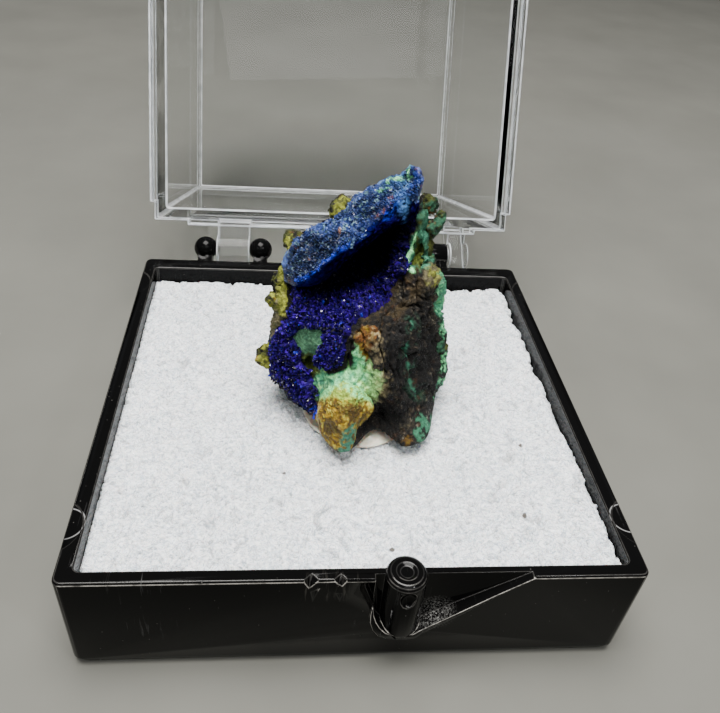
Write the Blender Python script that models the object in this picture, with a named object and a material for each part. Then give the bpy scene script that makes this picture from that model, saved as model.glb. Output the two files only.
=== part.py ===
"""Azurite specimen fixed in a small hinged display box, at its real size.

Sizes below are millimetres, and meshes are made in metres. X runs along the box's front, Y from the
front to the hinge, Z up. The origin is the centre of the tray's underside. The lid stands open.
"""

import math

import bmesh
import bpy
import numpy as np
from mathutils import Matrix, Vector, noise

MM = 0.001
GAP = 0.3  # clearance between pieces that touch

# Tray: a black moulded square tray
SIDE = 52.0
TRAY_HEIGHT = 12.3
SIDE_WALL = 1.6
FRONT_WALL = 1.35
BACK_WALL = 2.4
FLOOR = 1.4
TRAY_DRAFT = 0.3  # how much narrower the tray is at its foot
HALF = SIDE / 2
INNER_X = HALF - SIDE_WALL
INNER_FRONT = -HALF + FRONT_WALL
INNER_BACK = HALF - BACK_WALL

# Hinge: its axis runs along X behind the back wall
AXIS_Y = HALF + 3.1
AXIS_Z = TRAY_HEIGHT + 0.1
OPENING = math.radians(112.4)  # from closed to open
HINGE_X = 14.3  # the two hinges stand this far either side of the middle
BALL_RADIUS = 1.65
BALL_OFFSET = 3.86
TAB_WIDTH = 4.6
TAB_RADIUS = 1.9
KNUCKLE_WIDTH = 4.6
EAR_WIDTH = 2.7

# Lid: a clear deep cover with a bead round its mouth
LID_MOUTH_Z = TRAY_HEIGHT + GAP
LID_INNER_DEPTH = 37.0
LID_TOP = 1.6
LID_WALL = 1.8
BEAD = 0.65  # how far the bead stands out from the wall
BEAD_HEIGHT = 2.9
LID_DRAFT = 0.65
BEAD_STOP = 3.1  # the side beads stop this far short of the hinge side
HINGE_BEAD_HALF = 20.8

# Latch: a post in a notch of the front wall
POST_X = 3.85
POST_RADIUS = 1.87
POST_TOP = TRAY_HEIGHT + 0.3
POST_Y = -HALF + FRONT_WALL / 2
NOTCH_RADIUS = 2.9
NOTCH_X = 4.0
NOTCH_Z = 8.3
RAMP = math.radians(33.5)
NOTCH_DEPTH = 0.65
LIP_PROUD = 1.0
LIP_THICK = 0.9

# Foam and putty
FOAM_TOP = TRAY_HEIGHT - 1.95
PAD_CENTRE = (1.5, -1.0)
PAD_RADII = (7.2, 7.4)
PAD_BOTTOM = FOAM_TOP + GAP
PAD_TOP = PAD_BOTTOM + 0.55
ROCK_FLOOR = PAD_TOP + GAP

# Specimen: laid out on a face that leans back, a across it, b up it, c out of it
FACE_ORIGIN = (-0.4, -2.0, 23.8)
FACE_LEAN = math.radians(34.6)
FACE_TURN = math.radians(6.7)
FACE_REACH = 78.5  # lines square to the face run together this far out
BACK_DEPTH = -13.0
CRUST_GAP = 0.42
CRUST_THICK = 0.85

ROCK_OUTLINE = [  # (a, b), anticlockwise from the lower right foot
    (8.1, -13.2), (9.3, -12.4), (9.3, -10.0), (9.7, -7.6), (10.5, -6.0), (10.3, -3.0), (9.5, -0.3),
    (9.4, 1.8), (9.9, 4.0), (9.2, 5.0), (8.0, 5.8), (7.8, 7.4), (7.5, 9.4), (6.9, 11.4),
    (6.2, 13.0), (5.0, 13.9), (2.7, 13.6), (0.4, 12.3), (-1.4, 11.3), (-2.9, 10.2), (-4.4, 8.8),
    (-5.9, 7.6), (-7.0, 5.4), (-7.5, 3.4), (-7.7, 1.3), (-7.5, -0.8), (-7.7, -3.2), (-8.3, -5.2),
    (-8.0, -7.2), (-7.6, -8.1), (-6.0, -8.7), (-5.5, -9.8), (-3.3, -11.0), (-2.3, -11.7),
    (-1.3, -13.2), (-0.6, -14.3), (1.0, -14.7), (1.7, -14.3), (2.3, -12.9), (3.1, -12.2),
    (4.2, -11.8), (5.0, -11.9), (5.5, -13.3), (6.6, -13.7),
]
ROCK_RIM = [  # (a, b, c): where the front turns into the back
    (0.8, -14.7, 0.3), (-2.4, -11.6, -1.6), (-5.6, -9.8, -3.4), (-7.8, -7.8, -4.4),
    (-8.2, -5.0, -4.0), (-7.9, -1.0, -1.6), (-8.0, 1.5, -0.4), (-7.2, 4.8, 0.0), (-5.9, 7.8, -0.6),
    (-2.8, 10.4, -1.2), (0.4, 12.4, -1.2), (3.0, 13.7, 0.2), (5.4, 13.8, 2.0), (6.6, 12.2, 1.6),
    (7.6, 8.8, 0.0), (8.0, 5.8, -1.0), (9.7, 4.4, -2.6), (9.4, 0.5, -5.6), (10.4, -4.0, -7.0),
    (9.6, -8.6, -5.6), (9.2, -12.2, -2.6), (6.6, -13.7, -1.6), (4.4, -11.9, -4.0),
    (2.6, -12.6, -2.6),
]
ROCK_FRONT = [  # (a, b, c): heights that the front passes through
    (0.9, -13.8, 1.0), (0.5, -10.8, 2.6), (0.2, -8.3, 3.0), (0.6, -6.7, 1.9), (-1.6, -10.6, 1.0),
    (3.4, -10.8, -3.4), (7.2, -12.4, -0.6), (5.9, -2.6, 3.0), (6.0, -8.8, 0.8), (7.5, 2.8, 2.2),
    (9.0, -3.3, -3.4), (8.4, -8.6, -2.4), (2.7, -1.3, 4.2), (1.3, -2.7, 4.2), (-1.2, -4.4, 2.6),
    (-4.0, -3.5, 1.8), (-6.4, -3.2, 0.8), (-5.5, -7.7, -1.8), (-3.0, -10.4, -1.8),
    (-7.2, -6.6, -2.8), (-5.7, 0.5, 1.6), (-0.6, 0.2, 1.4), (3.9, 1.6, 1.4), (-0.3, 3.6, -3.0),
    (2.0, 6.4, -4.6), (3.6, 9.0, -3.4), (-3.9, 3.0, -1.6), (-2.7, 7.0, -3.0), (0.6, 9.6, -3.4),
    (-5.6, 6.6, 1.4), (-3.6, 8.6, 1.0), (-1.2, 10.6, 0.6), (1.4, 12.2, 0.8), (3.6, 12.9, 2.4),
    (5.5, 12.6, 3.6), (6.0, 10.0, 3.0), (6.1, 7.8, 3.0), (6.1, 5.2, 3.0), (7.4, 7.4, 1.8),
    (-6.8, 2.6, 1.4),
]
PITS = [  # (a, b, half width, half height, depth): a small vug beside the window and one by the rim
    (-3.6, -5.9, 0.9, 1.4, 2.2), (6.4, 6.4, 0.75, 1.6, 2.4),
]
LUMPS = [  # (a, b, c, radius): knobs that stand out from the sides
    (7.3, 11.2, 0.8, 1.25), (8.4, 10.5, 0.5, 1.05), (7.7, 9.2, 0.5, 1.1), (-8.0, -5.0, -3.9, 1.35),
    (-6.6, 6.0, 0.6, 1.4), (-2.8, 9.8, 0.6, 1.5), (9.4, -2.8, -5.0, 1.3), (-7.4, 1.4, 0.0, 1.3),
]

SLAB_OUTLINE = [  # the roof that overhangs the hollow
    (6.5, 13.6), (6.5, 15.2), (5.5, 16.4), (4.7, 15.8), (2.9, 14.7), (1.6, 13.4), (0.2, 12.6),
    (-1.6, 11.2), (-3.2, 9.9), (-5.0, 8.2), (-6.2, 6.6), (-7.2, 4.6), (-7.5, 3.4), (-6.9, 2.4),
    (-5.6, 1.8), (-4.4, 2.0), (-3.0, 3.3), (-1.4, 4.9), (0.5, 6.4), (1.9, 7.5), (3.4, 8.8),
    (5.0, 9.6), (6.1, 10.8),
]
SLAB_FRONT = [
    (-6.9, 3.0, 3.5), (-5.4, 2.2, 4.6), (-2.6, 3.9, 6.2), (-1.0, 5.6, 6.8), (1.6, 7.9, 6.3),
    (3.8, 10.0, 5.4), (-4.7, 5.8, 4.4), (-1.3, 8.4, 4.6), (1.6, 11.0, 4.4), (4.0, 13.3, 5.0),
    (-5.8, 6.9, 3.0), (-2.4, 9.6, 2.8), (0.1, 12.2, 2.8), (2.7, 14.1, 3.6), (5.4, 15.5, 6.0),
    (6.0, 13.0, 5.6),
]
SLAB_THICK = 3.6

LOBE_OUTLINE = [
    (-0.8, -14.2), (0.3, -14.7), (1.3, -14.4), (1.6, -13.3), (1.8, -12.0), (2.4, -11.2),
    (3.4, -9.9), (2.9, -8.8), (1.5, -7.6), (0.1, -7.1), (-1.0, -7.5), (-2.0, -8.3), (-2.4, -9.4),
    (-2.5, -11.3), (-1.8, -13.1),
]
LOBE_FRONT = [
    (0.4, -10.6, 4.2), (0.2, -8.3, 3.9), (0.6, -13.4, 2.4), (-1.9, -9.6, 2.6), (2.6, -9.6, 2.8),
    (-1.6, -12.2, 1.8), (1.7, -11.8, 2.8), (0.4, -12.2, 3.6),
]

CRUST_OUTLINE = [  # the druse that lines the hollow and runs down over the face in two lobes
    (5.4, 5.2), (4.4, 3.4), (3.6, 1.4), (2.2, -0.2), (0.8, -0.8), (-0.2, -2.4), (-0.4, -4.8),
    (-1.2, -5.8), (-2.6, -6.2), (-3.0, -5.0), (-2.9, -2.6), (-3.6, -1.9), (-5.0, -2.0), (-5.4, -3.2),
    (-4.9, -4.6), (-4.4, -6.4), (-3.4, -7.6), (-3.1, -9.4), (-3.5, -10.4), (-5.2, -9.2),
    (-5.9, -8.2), (-7.2, -7.4), (-7.6, -6.0), (-7.3, -4.2), (-6.5, -2.6), (-6.6, -0.4),
    (-6.0, 1.0), (-4.4, 1.8), (-2.6, 3.4), (-1.2, 5.6), (0.8, 8.4), (3.4, 9.0), (4.6, 8.0),
]
CRYSTAL_COUNT = 80
CRYSTAL_SPACING = 0.88

LEAN = Matrix.Rotation(-FACE_TURN, 3, "Z") @ Matrix.Rotation(-FACE_LEAN, 3, "X")
FACE_A = np.array(LEAN @ Vector((1, 0, 0)))
FACE_B = np.array(LEAN @ Vector((0, 0, 1)))
FACE_C = np.array(LEAN @ Vector((0, -1, 0)))


# Tools ---------------------------------------------------------------------------------------------


def clear_scene():
    for item in list(bpy.data.objects):
        bpy.data.objects.remove(item, do_unlink=True)


def material(name, colour, roughness, metallic=0.0, transmission=0.0):
    made = bpy.data.materials.new(name)
    made.use_nodes = True
    shader = made.node_tree.nodes["Principled BSDF"]
    shader.inputs["Base Color"].default_value = (*colour, 1.0)
    shader.inputs["Roughness"].default_value = roughness
    shader.inputs["Metallic"].default_value = metallic
    shader.inputs["Transmission Weight"].default_value = transmission
    made.diffuse_color = (*colour, 1.0)
    return made


def add_object(name, points, faces, finish=None, smooth_angle=None):
    """Points are an array of millimetres, faces are lists of indices."""
    mesh = bpy.data.meshes.new(name)
    mesh.from_pydata([tuple(p) for p in np.asarray(points) * MM], [], faces)
    mesh.update()
    if smooth_angle:
        mesh.shade_smooth()
        mesh.set_sharp_from_angle(angle=math.radians(smooth_angle))
    made = bpy.data.objects.new(name, mesh)
    bpy.context.scene.collection.objects.link(made)
    if finish:
        mesh.materials.append(finish)
    return made


def loft(rings, closed_path=False):
    """Skins rings of equal length, each an array of points, and caps both ends."""
    count = len(rings[0])
    points = np.concatenate(rings)
    faces = []
    for i in range(len(rings) - 1):
        for j in range(count):
            k = (j + 1) % count
            faces.append([i * count + j, i * count + k, (i + 1) * count + k, (i + 1) * count + j])
    if not closed_path:
        faces.append(list(range(count))[::-1])
        faces.append([(len(rings) - 1) * count + j for j in range(count)])
    return points, faces


def rectangle_ring(x0, x1, y0, y1, radius, z, steps=4):
    """A rectangle with round corners, anticlockwise from above."""
    ring = []
    for cx, cy, start in (
        (x1 - radius, y0 + radius, -90),
        (x1 - radius, y1 - radius, 0),
        (x0 + radius, y1 - radius, 90),
        (x0 + radius, y0 + radius, 180),
    ):
        for angle in np.radians(np.linspace(start, start + 90, steps + 1)):
            ring.append((cx + radius * math.cos(angle), cy + radius * math.sin(angle), z))
    return np.array(ring)


def turned(profile, steps, centre=(0.0, 0.0)):
    """A body turned about a vertical line: profile is (radius, z) from its foot to its top."""
    angles = np.linspace(0, 2 * math.pi, steps, endpoint=False)
    rings = [
        np.column_stack(
            (
                centre[0] + radius * np.cos(angles),
                centre[1] + radius * np.sin(angles),
                np.full(steps, z),
            )
        )
        for radius, z in profile
    ]
    return loft(rings)


def prism(outline, low, high, across="y"):
    """An outline of (x, z), anticlockwise seen from the front, carried from y = low to y = high,
    or of (x, y) carried along z, or of (y, z) carried along x."""
    flat = np.array(outline, float)
    ends = []
    for depth in (low, high):
        filled = np.full(len(flat), depth)
        columns = {
            "y": (flat[:, 0], filled, flat[:, 1]),
            "z": (flat[:, 0], flat[:, 1], filled),
            "x": (filled, flat[:, 0], flat[:, 1]),
        }[across]
        ends.append(np.column_stack(columns))
    if across == "y":
        ends.reverse()
    return loft(ends)


def block(x0, x1, y0, y1, z0, z1):
    return prism([(x0, y0), (x1, y0), (x1, y1), (x0, y1)], z0, z1, across="z")


def ball(centre, radius, subdivisions=3, stretch=(1, 1, 1)):
    shape = bmesh.new()
    bmesh.ops.create_icosphere(shape, subdivisions=subdivisions, radius=1.0)
    scale = np.array(stretch) * radius
    points = np.array([tuple(v.co) for v in shape.verts]) * scale + np.array(centre)
    faces = [[v.index for v in f.verts] for f in shape.faces]
    shape.free()
    return points, faces


def joined(parts):
    """Several bodies as one list of points and faces."""
    points, faces, start = [], [], 0
    for part_points, part_faces in parts:
        points.append(part_points)
        faces += [[i + start for i in face] for face in part_faces]
        start += len(part_points)
    return np.concatenate(points), faces


def guide(name, shape, about=None):
    """A tool body for a Boolean: it isn't part of the object."""
    points, faces = shape
    made = add_object(name, points, faces)
    made.hide_render = True
    made.display_type = "WIRE"
    if about:
        made.parent = about
    return made


def combine(target, operation, tool, crossing=False):
    """crossing is for a tool whose own parts run through each other."""
    step = target.modifiers.new(tool.name, "BOOLEAN")
    step.operation = operation
    step.solver = "EXACT"
    step.use_self = crossing
    step.object = tool


# Box -----------------------------------------------------------------------------------------------


def notch_outline(grow=0.0, steps=10):
    """The latch notch from its upper left corner round its foot and up the ramp, (x, z).
    grow moves the line outwards."""
    radius = NOTCH_RADIUS + grow
    arc = np.linspace(math.pi, 1.5 * math.pi + RAMP, steps)
    line = [(NOTCH_X - radius, TRAY_HEIGHT)]
    line += [(NOTCH_X + radius * math.cos(t), NOTCH_Z + radius * math.sin(t)) for t in arc]
    end_x, end_z = line[-1]
    rise = TRAY_HEIGHT - end_z
    for share in (0.33, 0.66, 1.0):
        line.append((end_x + share * rise / math.tan(RAMP), end_z + share * rise))
    return np.array(line)


def latch_lip():
    """A low lip that follows the notch: proud of the wall under the post, fading to both ends."""
    inner = notch_outline(-0.1)[1:]
    outer = notch_outline(LIP_THICK)[1:]
    along = np.linspace(0, 1, len(inner))
    strength = np.clip(np.sin(np.pi * along) * 1.15, 0.12, 1.0)
    rings = []
    for share, near, far in zip(strength, inner, outer):
        edge = near + (far - near) * share
        front = -HALF - LIP_PROUD * share
        back = -HALF + NOTCH_DEPTH + 0.2
        rings.append(
            np.array(
                [
                    (near[0], back, near[1]),
                    (near[0], front, near[1]),
                    (edge[0], front + 0.25 * share, edge[1]),
                    (edge[0], back, edge[1]),
                ]
            )
        )
    return loft(rings)


def latch_post():
    bottom = NOTCH_Z - NOTCH_RADIUS
    profile = [
        (POST_RADIUS * 0.55, bottom - 0.55),
        (POST_RADIUS * 0.9, bottom - 0.15),
        (POST_RADIUS, bottom + 0.4),
        (POST_RADIUS, POST_TOP - 0.5),
        (POST_RADIUS - 0.13, POST_TOP - 0.2),
        (POST_RADIUS - 0.42, POST_TOP),
        (0.95, POST_TOP),
        (0.6, POST_TOP - 0.16),
    ]
    return turned(profile, 32, (POST_X, POST_Y))


def chip(points):
    """A four- or five-cornered flake, as the hull of its corners."""
    shape = bmesh.new()
    for point in points:
        shape.verts.new(point)
    bmesh.ops.convex_hull(shape, input=shape.verts)
    shape.verts.index_update()
    found = np.array([tuple(v.co) for v in shape.verts])
    faces = [[v.index for v in f.verts] for f in shape.faces]
    shape.free()
    return found, faces


def chips():
    front = -HALF
    top = TRAY_HEIGHT
    return joined(
        [
            chip([(-5.65, front - 0.3, top + 0.3), (-3.4, front - 0.3, top + 0.3),
                  (-4.7, front - 0.3, top - 1.25), (-4.5, front + 0.85, top + 0.3),
                  (-4.6, front + 0.1, top - 1.0)]),
            chip([(-3.0, front - 0.3, top + 0.3), (-0.85, front - 0.3, top + 0.3),
                  (-2.3, front - 0.3, top - 0.9), (-1.7, front - 0.3, top - 1.4),
                  (-1.9, front + 0.75, top + 0.3)]),
            chip([(-5.0, front - 0.2, top - 1.5), (-3.3, front - 0.2, top - 0.6),
                  (-4.4, front - 0.1, top - 4.4), (-4.1, front + 0.22, top - 1.6)]),
            chip([(-2.9, front - 0.2, top - 1.7), (-1.2, front - 0.2, top - 1.7),
                  (-1.8, front - 0.1, top - 4.4), (-1.9, front + 0.2, top - 2.0)]),
        ]
    )


def ejector_marks():
    """Shallow round marks of the mould's pins, cut by the outer edge of the side rims."""
    marks = [
        turned([(3.2, TRAY_HEIGHT - 0.14), (3.2, TRAY_HEIGHT + 1)], 28, (x, y))
        for x in (-27.8, 27.8)
        for y in (-19.9, 19.9)
    ]
    return joined(marks)


def hinge_arm(x):
    """A bracket from the back wall that carries a ball of the hinge."""
    outline = [
        (HALF - 0.6, 7.2), (HALF + 0.4, 7.6), (AXIS_Y + 0.9, AXIS_Z - 1.5),
        (AXIS_Y + 0.6, AXIS_Z - 0.2), (AXIS_Y - 0.7, AXIS_Z - 0.2), (HALF - 0.6, AXIS_Z - 1.3),
    ]
    return prism(outline, x - 1.0, x + 1.0, across="x")


def barrel(x0, x1, radius, steps=20):
    """A round bar along the hinge axis."""
    angles = np.linspace(0, 2 * math.pi, steps, endpoint=False)
    line = np.column_stack((AXIS_Y + radius * np.cos(angles), AXIS_Z + radius * np.sin(angles)))
    return prism(line, x0, x1, across="x")


def tray(finish):
    wall = [  # how far in from the square outline, height and corner radius, from the foot up
        (1.3, 0.0, 1.2), (0.6, 0.3, 1.2), (TRAY_DRAFT, 1.1, 1.0), (0.02, TRAY_HEIGHT - 0.22, 0.8),
        (0.18, TRAY_HEIGHT, 0.7),
    ]
    rings = [
        rectangle_ring(-HALF + inset, HALF - inset, -HALF + inset, HALF - inset, radius, z)
        for inset, z, radius in wall
    ]
    hollow = [(-0.12, TRAY_HEIGHT, 0.7), (0.0, TRAY_HEIGHT - 0.14, 0.6), (0.0, FLOOR + 0.6, 0.6),
              (0.5, FLOOR, 0.6)]
    for inset, z, radius in hollow:
        rings.append(
            rectangle_ring(-INNER_X + inset, INNER_X - inset, INNER_FRONT + inset,
                           INNER_BACK - inset, radius, z)
        )
    made = add_object("base_tray", *loft(rings), finish, smooth_angle=30)

    outline = list(notch_outline()) + [(NOTCH_X + 12.0, TRAY_HEIGHT + 2), (1.1, TRAY_HEIGHT + 2)]
    notch = guide("notch_cut", prism(outline, -HALF - 1.0, -HALF + NOTCH_DEPTH))
    combine(made, "DIFFERENCE", notch)
    combine(made, "DIFFERENCE", guide("edge_chips_cut", chips()))
    combine(made, "DIFFERENCE", guide("ejector_marks_cut", ejector_marks()))
    combine(made, "UNION", guide("notch_lip_form", latch_lip()))

    post = guide("latch_post_form", latch_post())
    dimple = ball((POST_X + 0.1, POST_Y - POST_RADIUS, POST_TOP - 1.7), 1.0, 2, (0.8, 0.55, 1.05))
    combine(post, "DIFFERENCE", guide("post_dimple_cut", dimple))
    combine(made, "UNION", post)

    for number, x in enumerate((-HINGE_X - BALL_OFFSET, -HINGE_X + BALL_OFFSET)):
        combine(made, "UNION", guide(f"hinge_arm_form_{number}", hinge_arm(x)))
        combine(made, "UNION", guide(f"hinge_ball_form_{number}", ball((x, AXIS_Y, AXIS_Z), BALL_RADIUS)))

    half = KNUCKLE_WIDTH / 2
    web = [
        (HALF - 0.6, 7.2), (HALF + 0.5, 7.6), (AXIS_Y + 1.3, AXIS_Z - 1.1),
        (AXIS_Y - 0.4, AXIS_Z + 1.0), (HALF - 0.6, AXIS_Z - 1.2),
    ]
    web_form = prism(web, HINGE_X - half + 0.15, HINGE_X + half - 0.15, across="x")
    combine(made, "UNION", guide("knuckle_web_form", web_form))
    knuckle = guide("knuckle_form", barrel(HINGE_X - half, HINGE_X + half, 1.7))
    combine(made, "UNION", knuckle)
    for number, side in enumerate((-1, 1)):
        socket = ball((HINGE_X + side * (half + 0.35), AXIS_Y, AXIS_Z), 1.35, 2)
        combine(made, "DIFFERENCE", guide(f"knuckle_socket_cut_{number}", socket))
    return made


def lid_shell():
    """The lid's walls and top, closed, as rings from the mouth's outer edge over the top and in."""
    bead_z = LID_MOUTH_Z + BEAD_HEIGHT
    top_z = LID_MOUTH_Z + LID_INNER_DEPTH + LID_TOP
    side = [
        (0.12, LID_MOUTH_Z, 0.7), (0.0, LID_MOUTH_Z + 0.12, 0.8), (0.0, bead_z - 0.12, 0.8),
        (0.12, bead_z, 0.7), (BEAD, bead_z + 0.02, 0.6), (BEAD + LID_DRAFT, top_z - 0.8, 0.6),
        (BEAD + LID_DRAFT + 0.22, top_z - 0.22, 0.7), (BEAD + LID_DRAFT + 0.8, top_z, 0.7),
    ]
    rings = [
        rectangle_ring(-HALF + inset, HALF - inset, -HALF + inset, HALF - inset, radius, z)
        for inset, z, radius in side
    ]
    inner = BEAD + LID_WALL
    hollow = [
        (inner - 0.1, LID_MOUTH_Z, 0.5), (inner, LID_MOUTH_Z + 0.12, 0.4),
        (inner + LID_DRAFT, LID_MOUTH_Z + LID_INNER_DEPTH - 0.3, 0.4),
        (inner + LID_DRAFT + 0.3, LID_MOUTH_Z + LID_INNER_DEPTH, 0.4),
    ]
    inside = [
        rectangle_ring(-HALF + inset, HALF - inset, -HALF + inset, HALF - inset, radius, z)
        for inset, z, radius in hollow
    ]
    return loft(inside[::-1] + rings)


def bead_stops():
    """What is missing from the bead: its corners on the hinge side."""
    low, high = LID_MOUTH_Z - 1, LID_MOUTH_Z + BEAD_HEIGHT + 0.3
    wall = HALF - BEAD
    stops = []
    for side in (-1, 1):
        across = sorted((side * (wall + 0.01), side * (HALF + 1)))
        stops.append(block(*across, HALF - BEAD_STOP, wall - 1.0, low, high))
        corner = sorted((side * HINGE_BEAD_HALF, side * (HALF + 1)))
        stops.append(block(*corner, wall + 0.01, HALF + 1, low, high))
        edge = sorted((side * (wall + 0.01), side * (HALF + 1)))
        stops.append(block(*edge, wall - 1.0, wall + 0.01, low, high))
    return stops


def hinge_tab():
    """The lid's tab between the two balls: its foot is round about the axis."""
    arc = np.linspace(math.radians(-215), math.radians(55), 16)
    outline = [(AXIS_Y + TAB_RADIUS * math.cos(t), AXIS_Z + TAB_RADIUS * math.sin(t)) for t in arc]
    outline += [(HALF - 0.3, LID_MOUTH_Z + 4.3), (HALF - BEAD - 0.4, LID_MOUTH_Z + 4.3),
                (HALF - BEAD - 0.4, LID_MOUTH_Z + 0.6)]
    return outline


def ear_outline():
    return hinge_tab()


def latch_sleeve():
    """The half sleeve on the lid's front that closes round the post."""
    top = LID_MOUTH_Z + 3.2
    outer = POST_RADIUS + GAP + 0.85
    bottom = NOTCH_Z + 0.6
    return turned([(outer - 0.15, bottom), (outer, bottom + 0.2), (outer, top - 0.6),
                   (outer - 0.6, top)], 32, (POST_X, POST_Y))


def lid(finish):
    """Modelled closed, then turned back about the hinge axis to stand open."""
    points, faces = lid_shell()
    axis = np.array((0.0, AXIS_Y, AXIS_Z))
    made = add_object("clear_lid", points - axis, faces, finish, smooth_angle=30)
    made.location = axis * MM
    made.rotation_euler = (-OPENING, 0, 0)

    def tool(name, shape):
        return guide(name, (shape[0] - axis, shape[1]), about=made)

    for number, stop in enumerate(bead_stops()):
        combine(made, "DIFFERENCE", tool(f"bead_stop_cut_{number}", stop))

    half = TAB_WIDTH / 2
    tab = tool("hinge_tab_form", prism(hinge_tab(), -HINGE_X - half, -HINGE_X + half, across="x"))
    for number, side in enumerate((-1, 1)):
        socket = ball((-HINGE_X + side * BALL_OFFSET, AXIS_Y, AXIS_Z), BALL_RADIUS + GAP)
        combine(tab, "DIFFERENCE", tool(f"ball_socket_cut_{number}", socket))
    combine(made, "UNION", tab)

    inner = KNUCKLE_WIDTH / 2 + GAP
    for number, side in enumerate((-1, 1)):
        x0, x1 = sorted((HINGE_X + side * inner, HINGE_X + side * (inner + EAR_WIDTH)))
        ear = tool(f"hinge_ear_form_{number}", prism(ear_outline(), x0, x1, across="x"))
        boss = ball((HINGE_X + side * (inner + 0.05), AXIS_Y, AXIS_Z), 0.95, 2)
        combine(ear, "UNION", tool(f"ear_boss_form_{number}", boss))
        combine(made, "UNION", ear)

    sleeve = tool("latch_sleeve_form", latch_sleeve())
    behind = block(POST_X - 5, POST_X + 5, -HALF - 0.3, -HALF + 5, 0, LID_MOUTH_Z + 0.05)
    combine(sleeve, "DIFFERENCE", tool("sleeve_back_cut", behind))
    inside = block(POST_X - 5, POST_X + 5, -HALF + 1.6, -HALF + 8, 5, LID_MOUTH_Z + 9)
    combine(sleeve, "DIFFERENCE", tool("sleeve_inside_cut", inside))
    combine(made, "UNION", sleeve)
    bore = turned([(POST_RADIUS + GAP, 5.0), (POST_RADIUS + GAP, POST_TOP + 0.7)], 32, (POST_X, POST_Y))
    combine(made, "DIFFERENCE", tool("sleeve_bore_cut", bore))
    return made


def foam(finish):
    """A foam block whose right and back edges are torn."""
    x0, x1 = -INNER_X + GAP, INNER_X - GAP
    y0, y1 = INNER_FRONT + GAP, INNER_BACK - GAP
    step = 1.5
    notch_half = POST_RADIUS + 0.45
    line = [(x, y0) for x in np.arange(x0, POST_X - notch_half, 4.0)]
    arc = np.linspace(math.pi, 0, 9)
    line += [
        (POST_X + notch_half * math.cos(t), max(y0, POST_Y + notch_half * math.sin(t))) for t in arc
    ]
    line += [(x, y0) for x in np.arange(POST_X + notch_half + 3.0, x1 - 1.0, 4.0)]
    for y in np.arange(y0, y1 - 1.0, step):
        tear = 0.45 + 0.3 * math.sin(y * 1.9) + 0.3 * math.sin(y * 0.53 + 1.0) * math.cos(y * 3.1)
        line.append((x1 - max(0.0, tear), y))
    for x in np.arange(x1, x0 + 1.0, -step):
        tear = 0.35 + 0.25 * math.sin(x * 1.3) + 0.25 * math.sin(x * 0.41) * math.cos(x * 2.7)
        line.append((x, y1 - max(0.0, tear)))
    line += [(x0, y) for y in np.arange(y1, y0 + 2.0, -6.0)]
    flat = np.array(line)
    middle = flat.mean(axis=0)
    rings = [
        np.column_stack((middle + (flat - middle) * share, np.full(len(flat), z)))
        for share, z in ((0.995, FLOOR + GAP), (1.0, FLOOR + 1.2), (1.0, FOAM_TOP - 0.25),
                         (0.994, FOAM_TOP))
    ]
    return add_object("foam_insert", *loft(rings), finish, smooth_angle=40)


def putty(finish):
    """The pressed pad of putty that the specimen sits in."""
    angles = np.linspace(0, 2 * math.pi, 40, endpoint=False)
    wave = 1 + 0.035 * np.sin(3 * angles + 0.6) + 0.025 * np.sin(7 * angles) + 0.02 * np.cos(5 * angles)
    rings = []
    for share, z in ((0.95, PAD_BOTTOM), (1.0, PAD_BOTTOM + 0.2), (0.98, PAD_TOP - 0.12),
                     (0.9, PAD_TOP)):
        rings.append(
            np.column_stack(
                (
                    PAD_CENTRE[0] + PAD_RADII[0] * share * wave * np.cos(angles),
                    PAD_CENTRE[1] + PAD_RADII[1] * share * wave * np.sin(angles),
                    np.full(len(angles), z),
                )
            )
        )
    return add_object("putty_pad", *loft(rings), finish, smooth_angle=40)


# Specimen ------------------------------------------------------------------------------------------


def on_face(a, b, c):
    """World points, in millimetres, of places on the leaning face."""
    taper = 1 - c / FACE_REACH
    across = (a * taper)[..., None] * FACE_A + (b * taper)[..., None] * FACE_B
    return np.array(FACE_ORIGIN) + across + c[..., None] * FACE_C


def pressed_flat(points):
    """The points moved along c onto the leaning face, so that a front and its back share a wave."""
    away = (points - np.array(FACE_ORIGIN)) @ FACE_C
    return points - away[:, None] * FACE_C


def bend(distance):
    """The thin plate's kernel, r squared times log r."""
    safe = np.maximum(distance, 1e-9)
    return safe**2 * np.log(safe)


def stretched_sheet(pegs, slack=0.0):
    """A thin plate through pegs of (a, b, c): returns c as a function of a and b."""
    pegs = np.array(pegs, float)
    places, heights = pegs[:, :2], pegs[:, 2]
    count = len(pegs)
    system = np.zeros((count + 3, count + 3))
    gaps = np.linalg.norm(places[:, None] - places[None], axis=2)
    system[:count, :count] = bend(gaps) + slack * np.eye(count)
    system[:count, count:] = np.column_stack((np.ones(count), places))
    system[count:, :count] = system[:count, count:].T
    weights = np.linalg.solve(system, np.concatenate((heights, np.zeros(3))))

    def height(a, b):
        spread = np.stack((a, b), axis=-1)[..., None, :] - places
        bent = bend(np.linalg.norm(spread, axis=-1)) @ weights[:count]
        return bent + weights[count] + weights[count + 1] * a + weights[count + 2] * b

    return height


def roughness(points, scale, seed, octaves=3):
    """Fractal noise in -1 to 1 at each point, its largest lumps scale millimetres across."""
    offset = Vector((seed * 7.3, seed * 3.1, seed * 5.7))
    found = [noise.fractal(Vector(p) / scale + offset, 0.9, 2.1, octaves) for p in points.reshape(-1, 3)]
    return np.array(found).reshape(points.shape[:-1])


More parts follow.
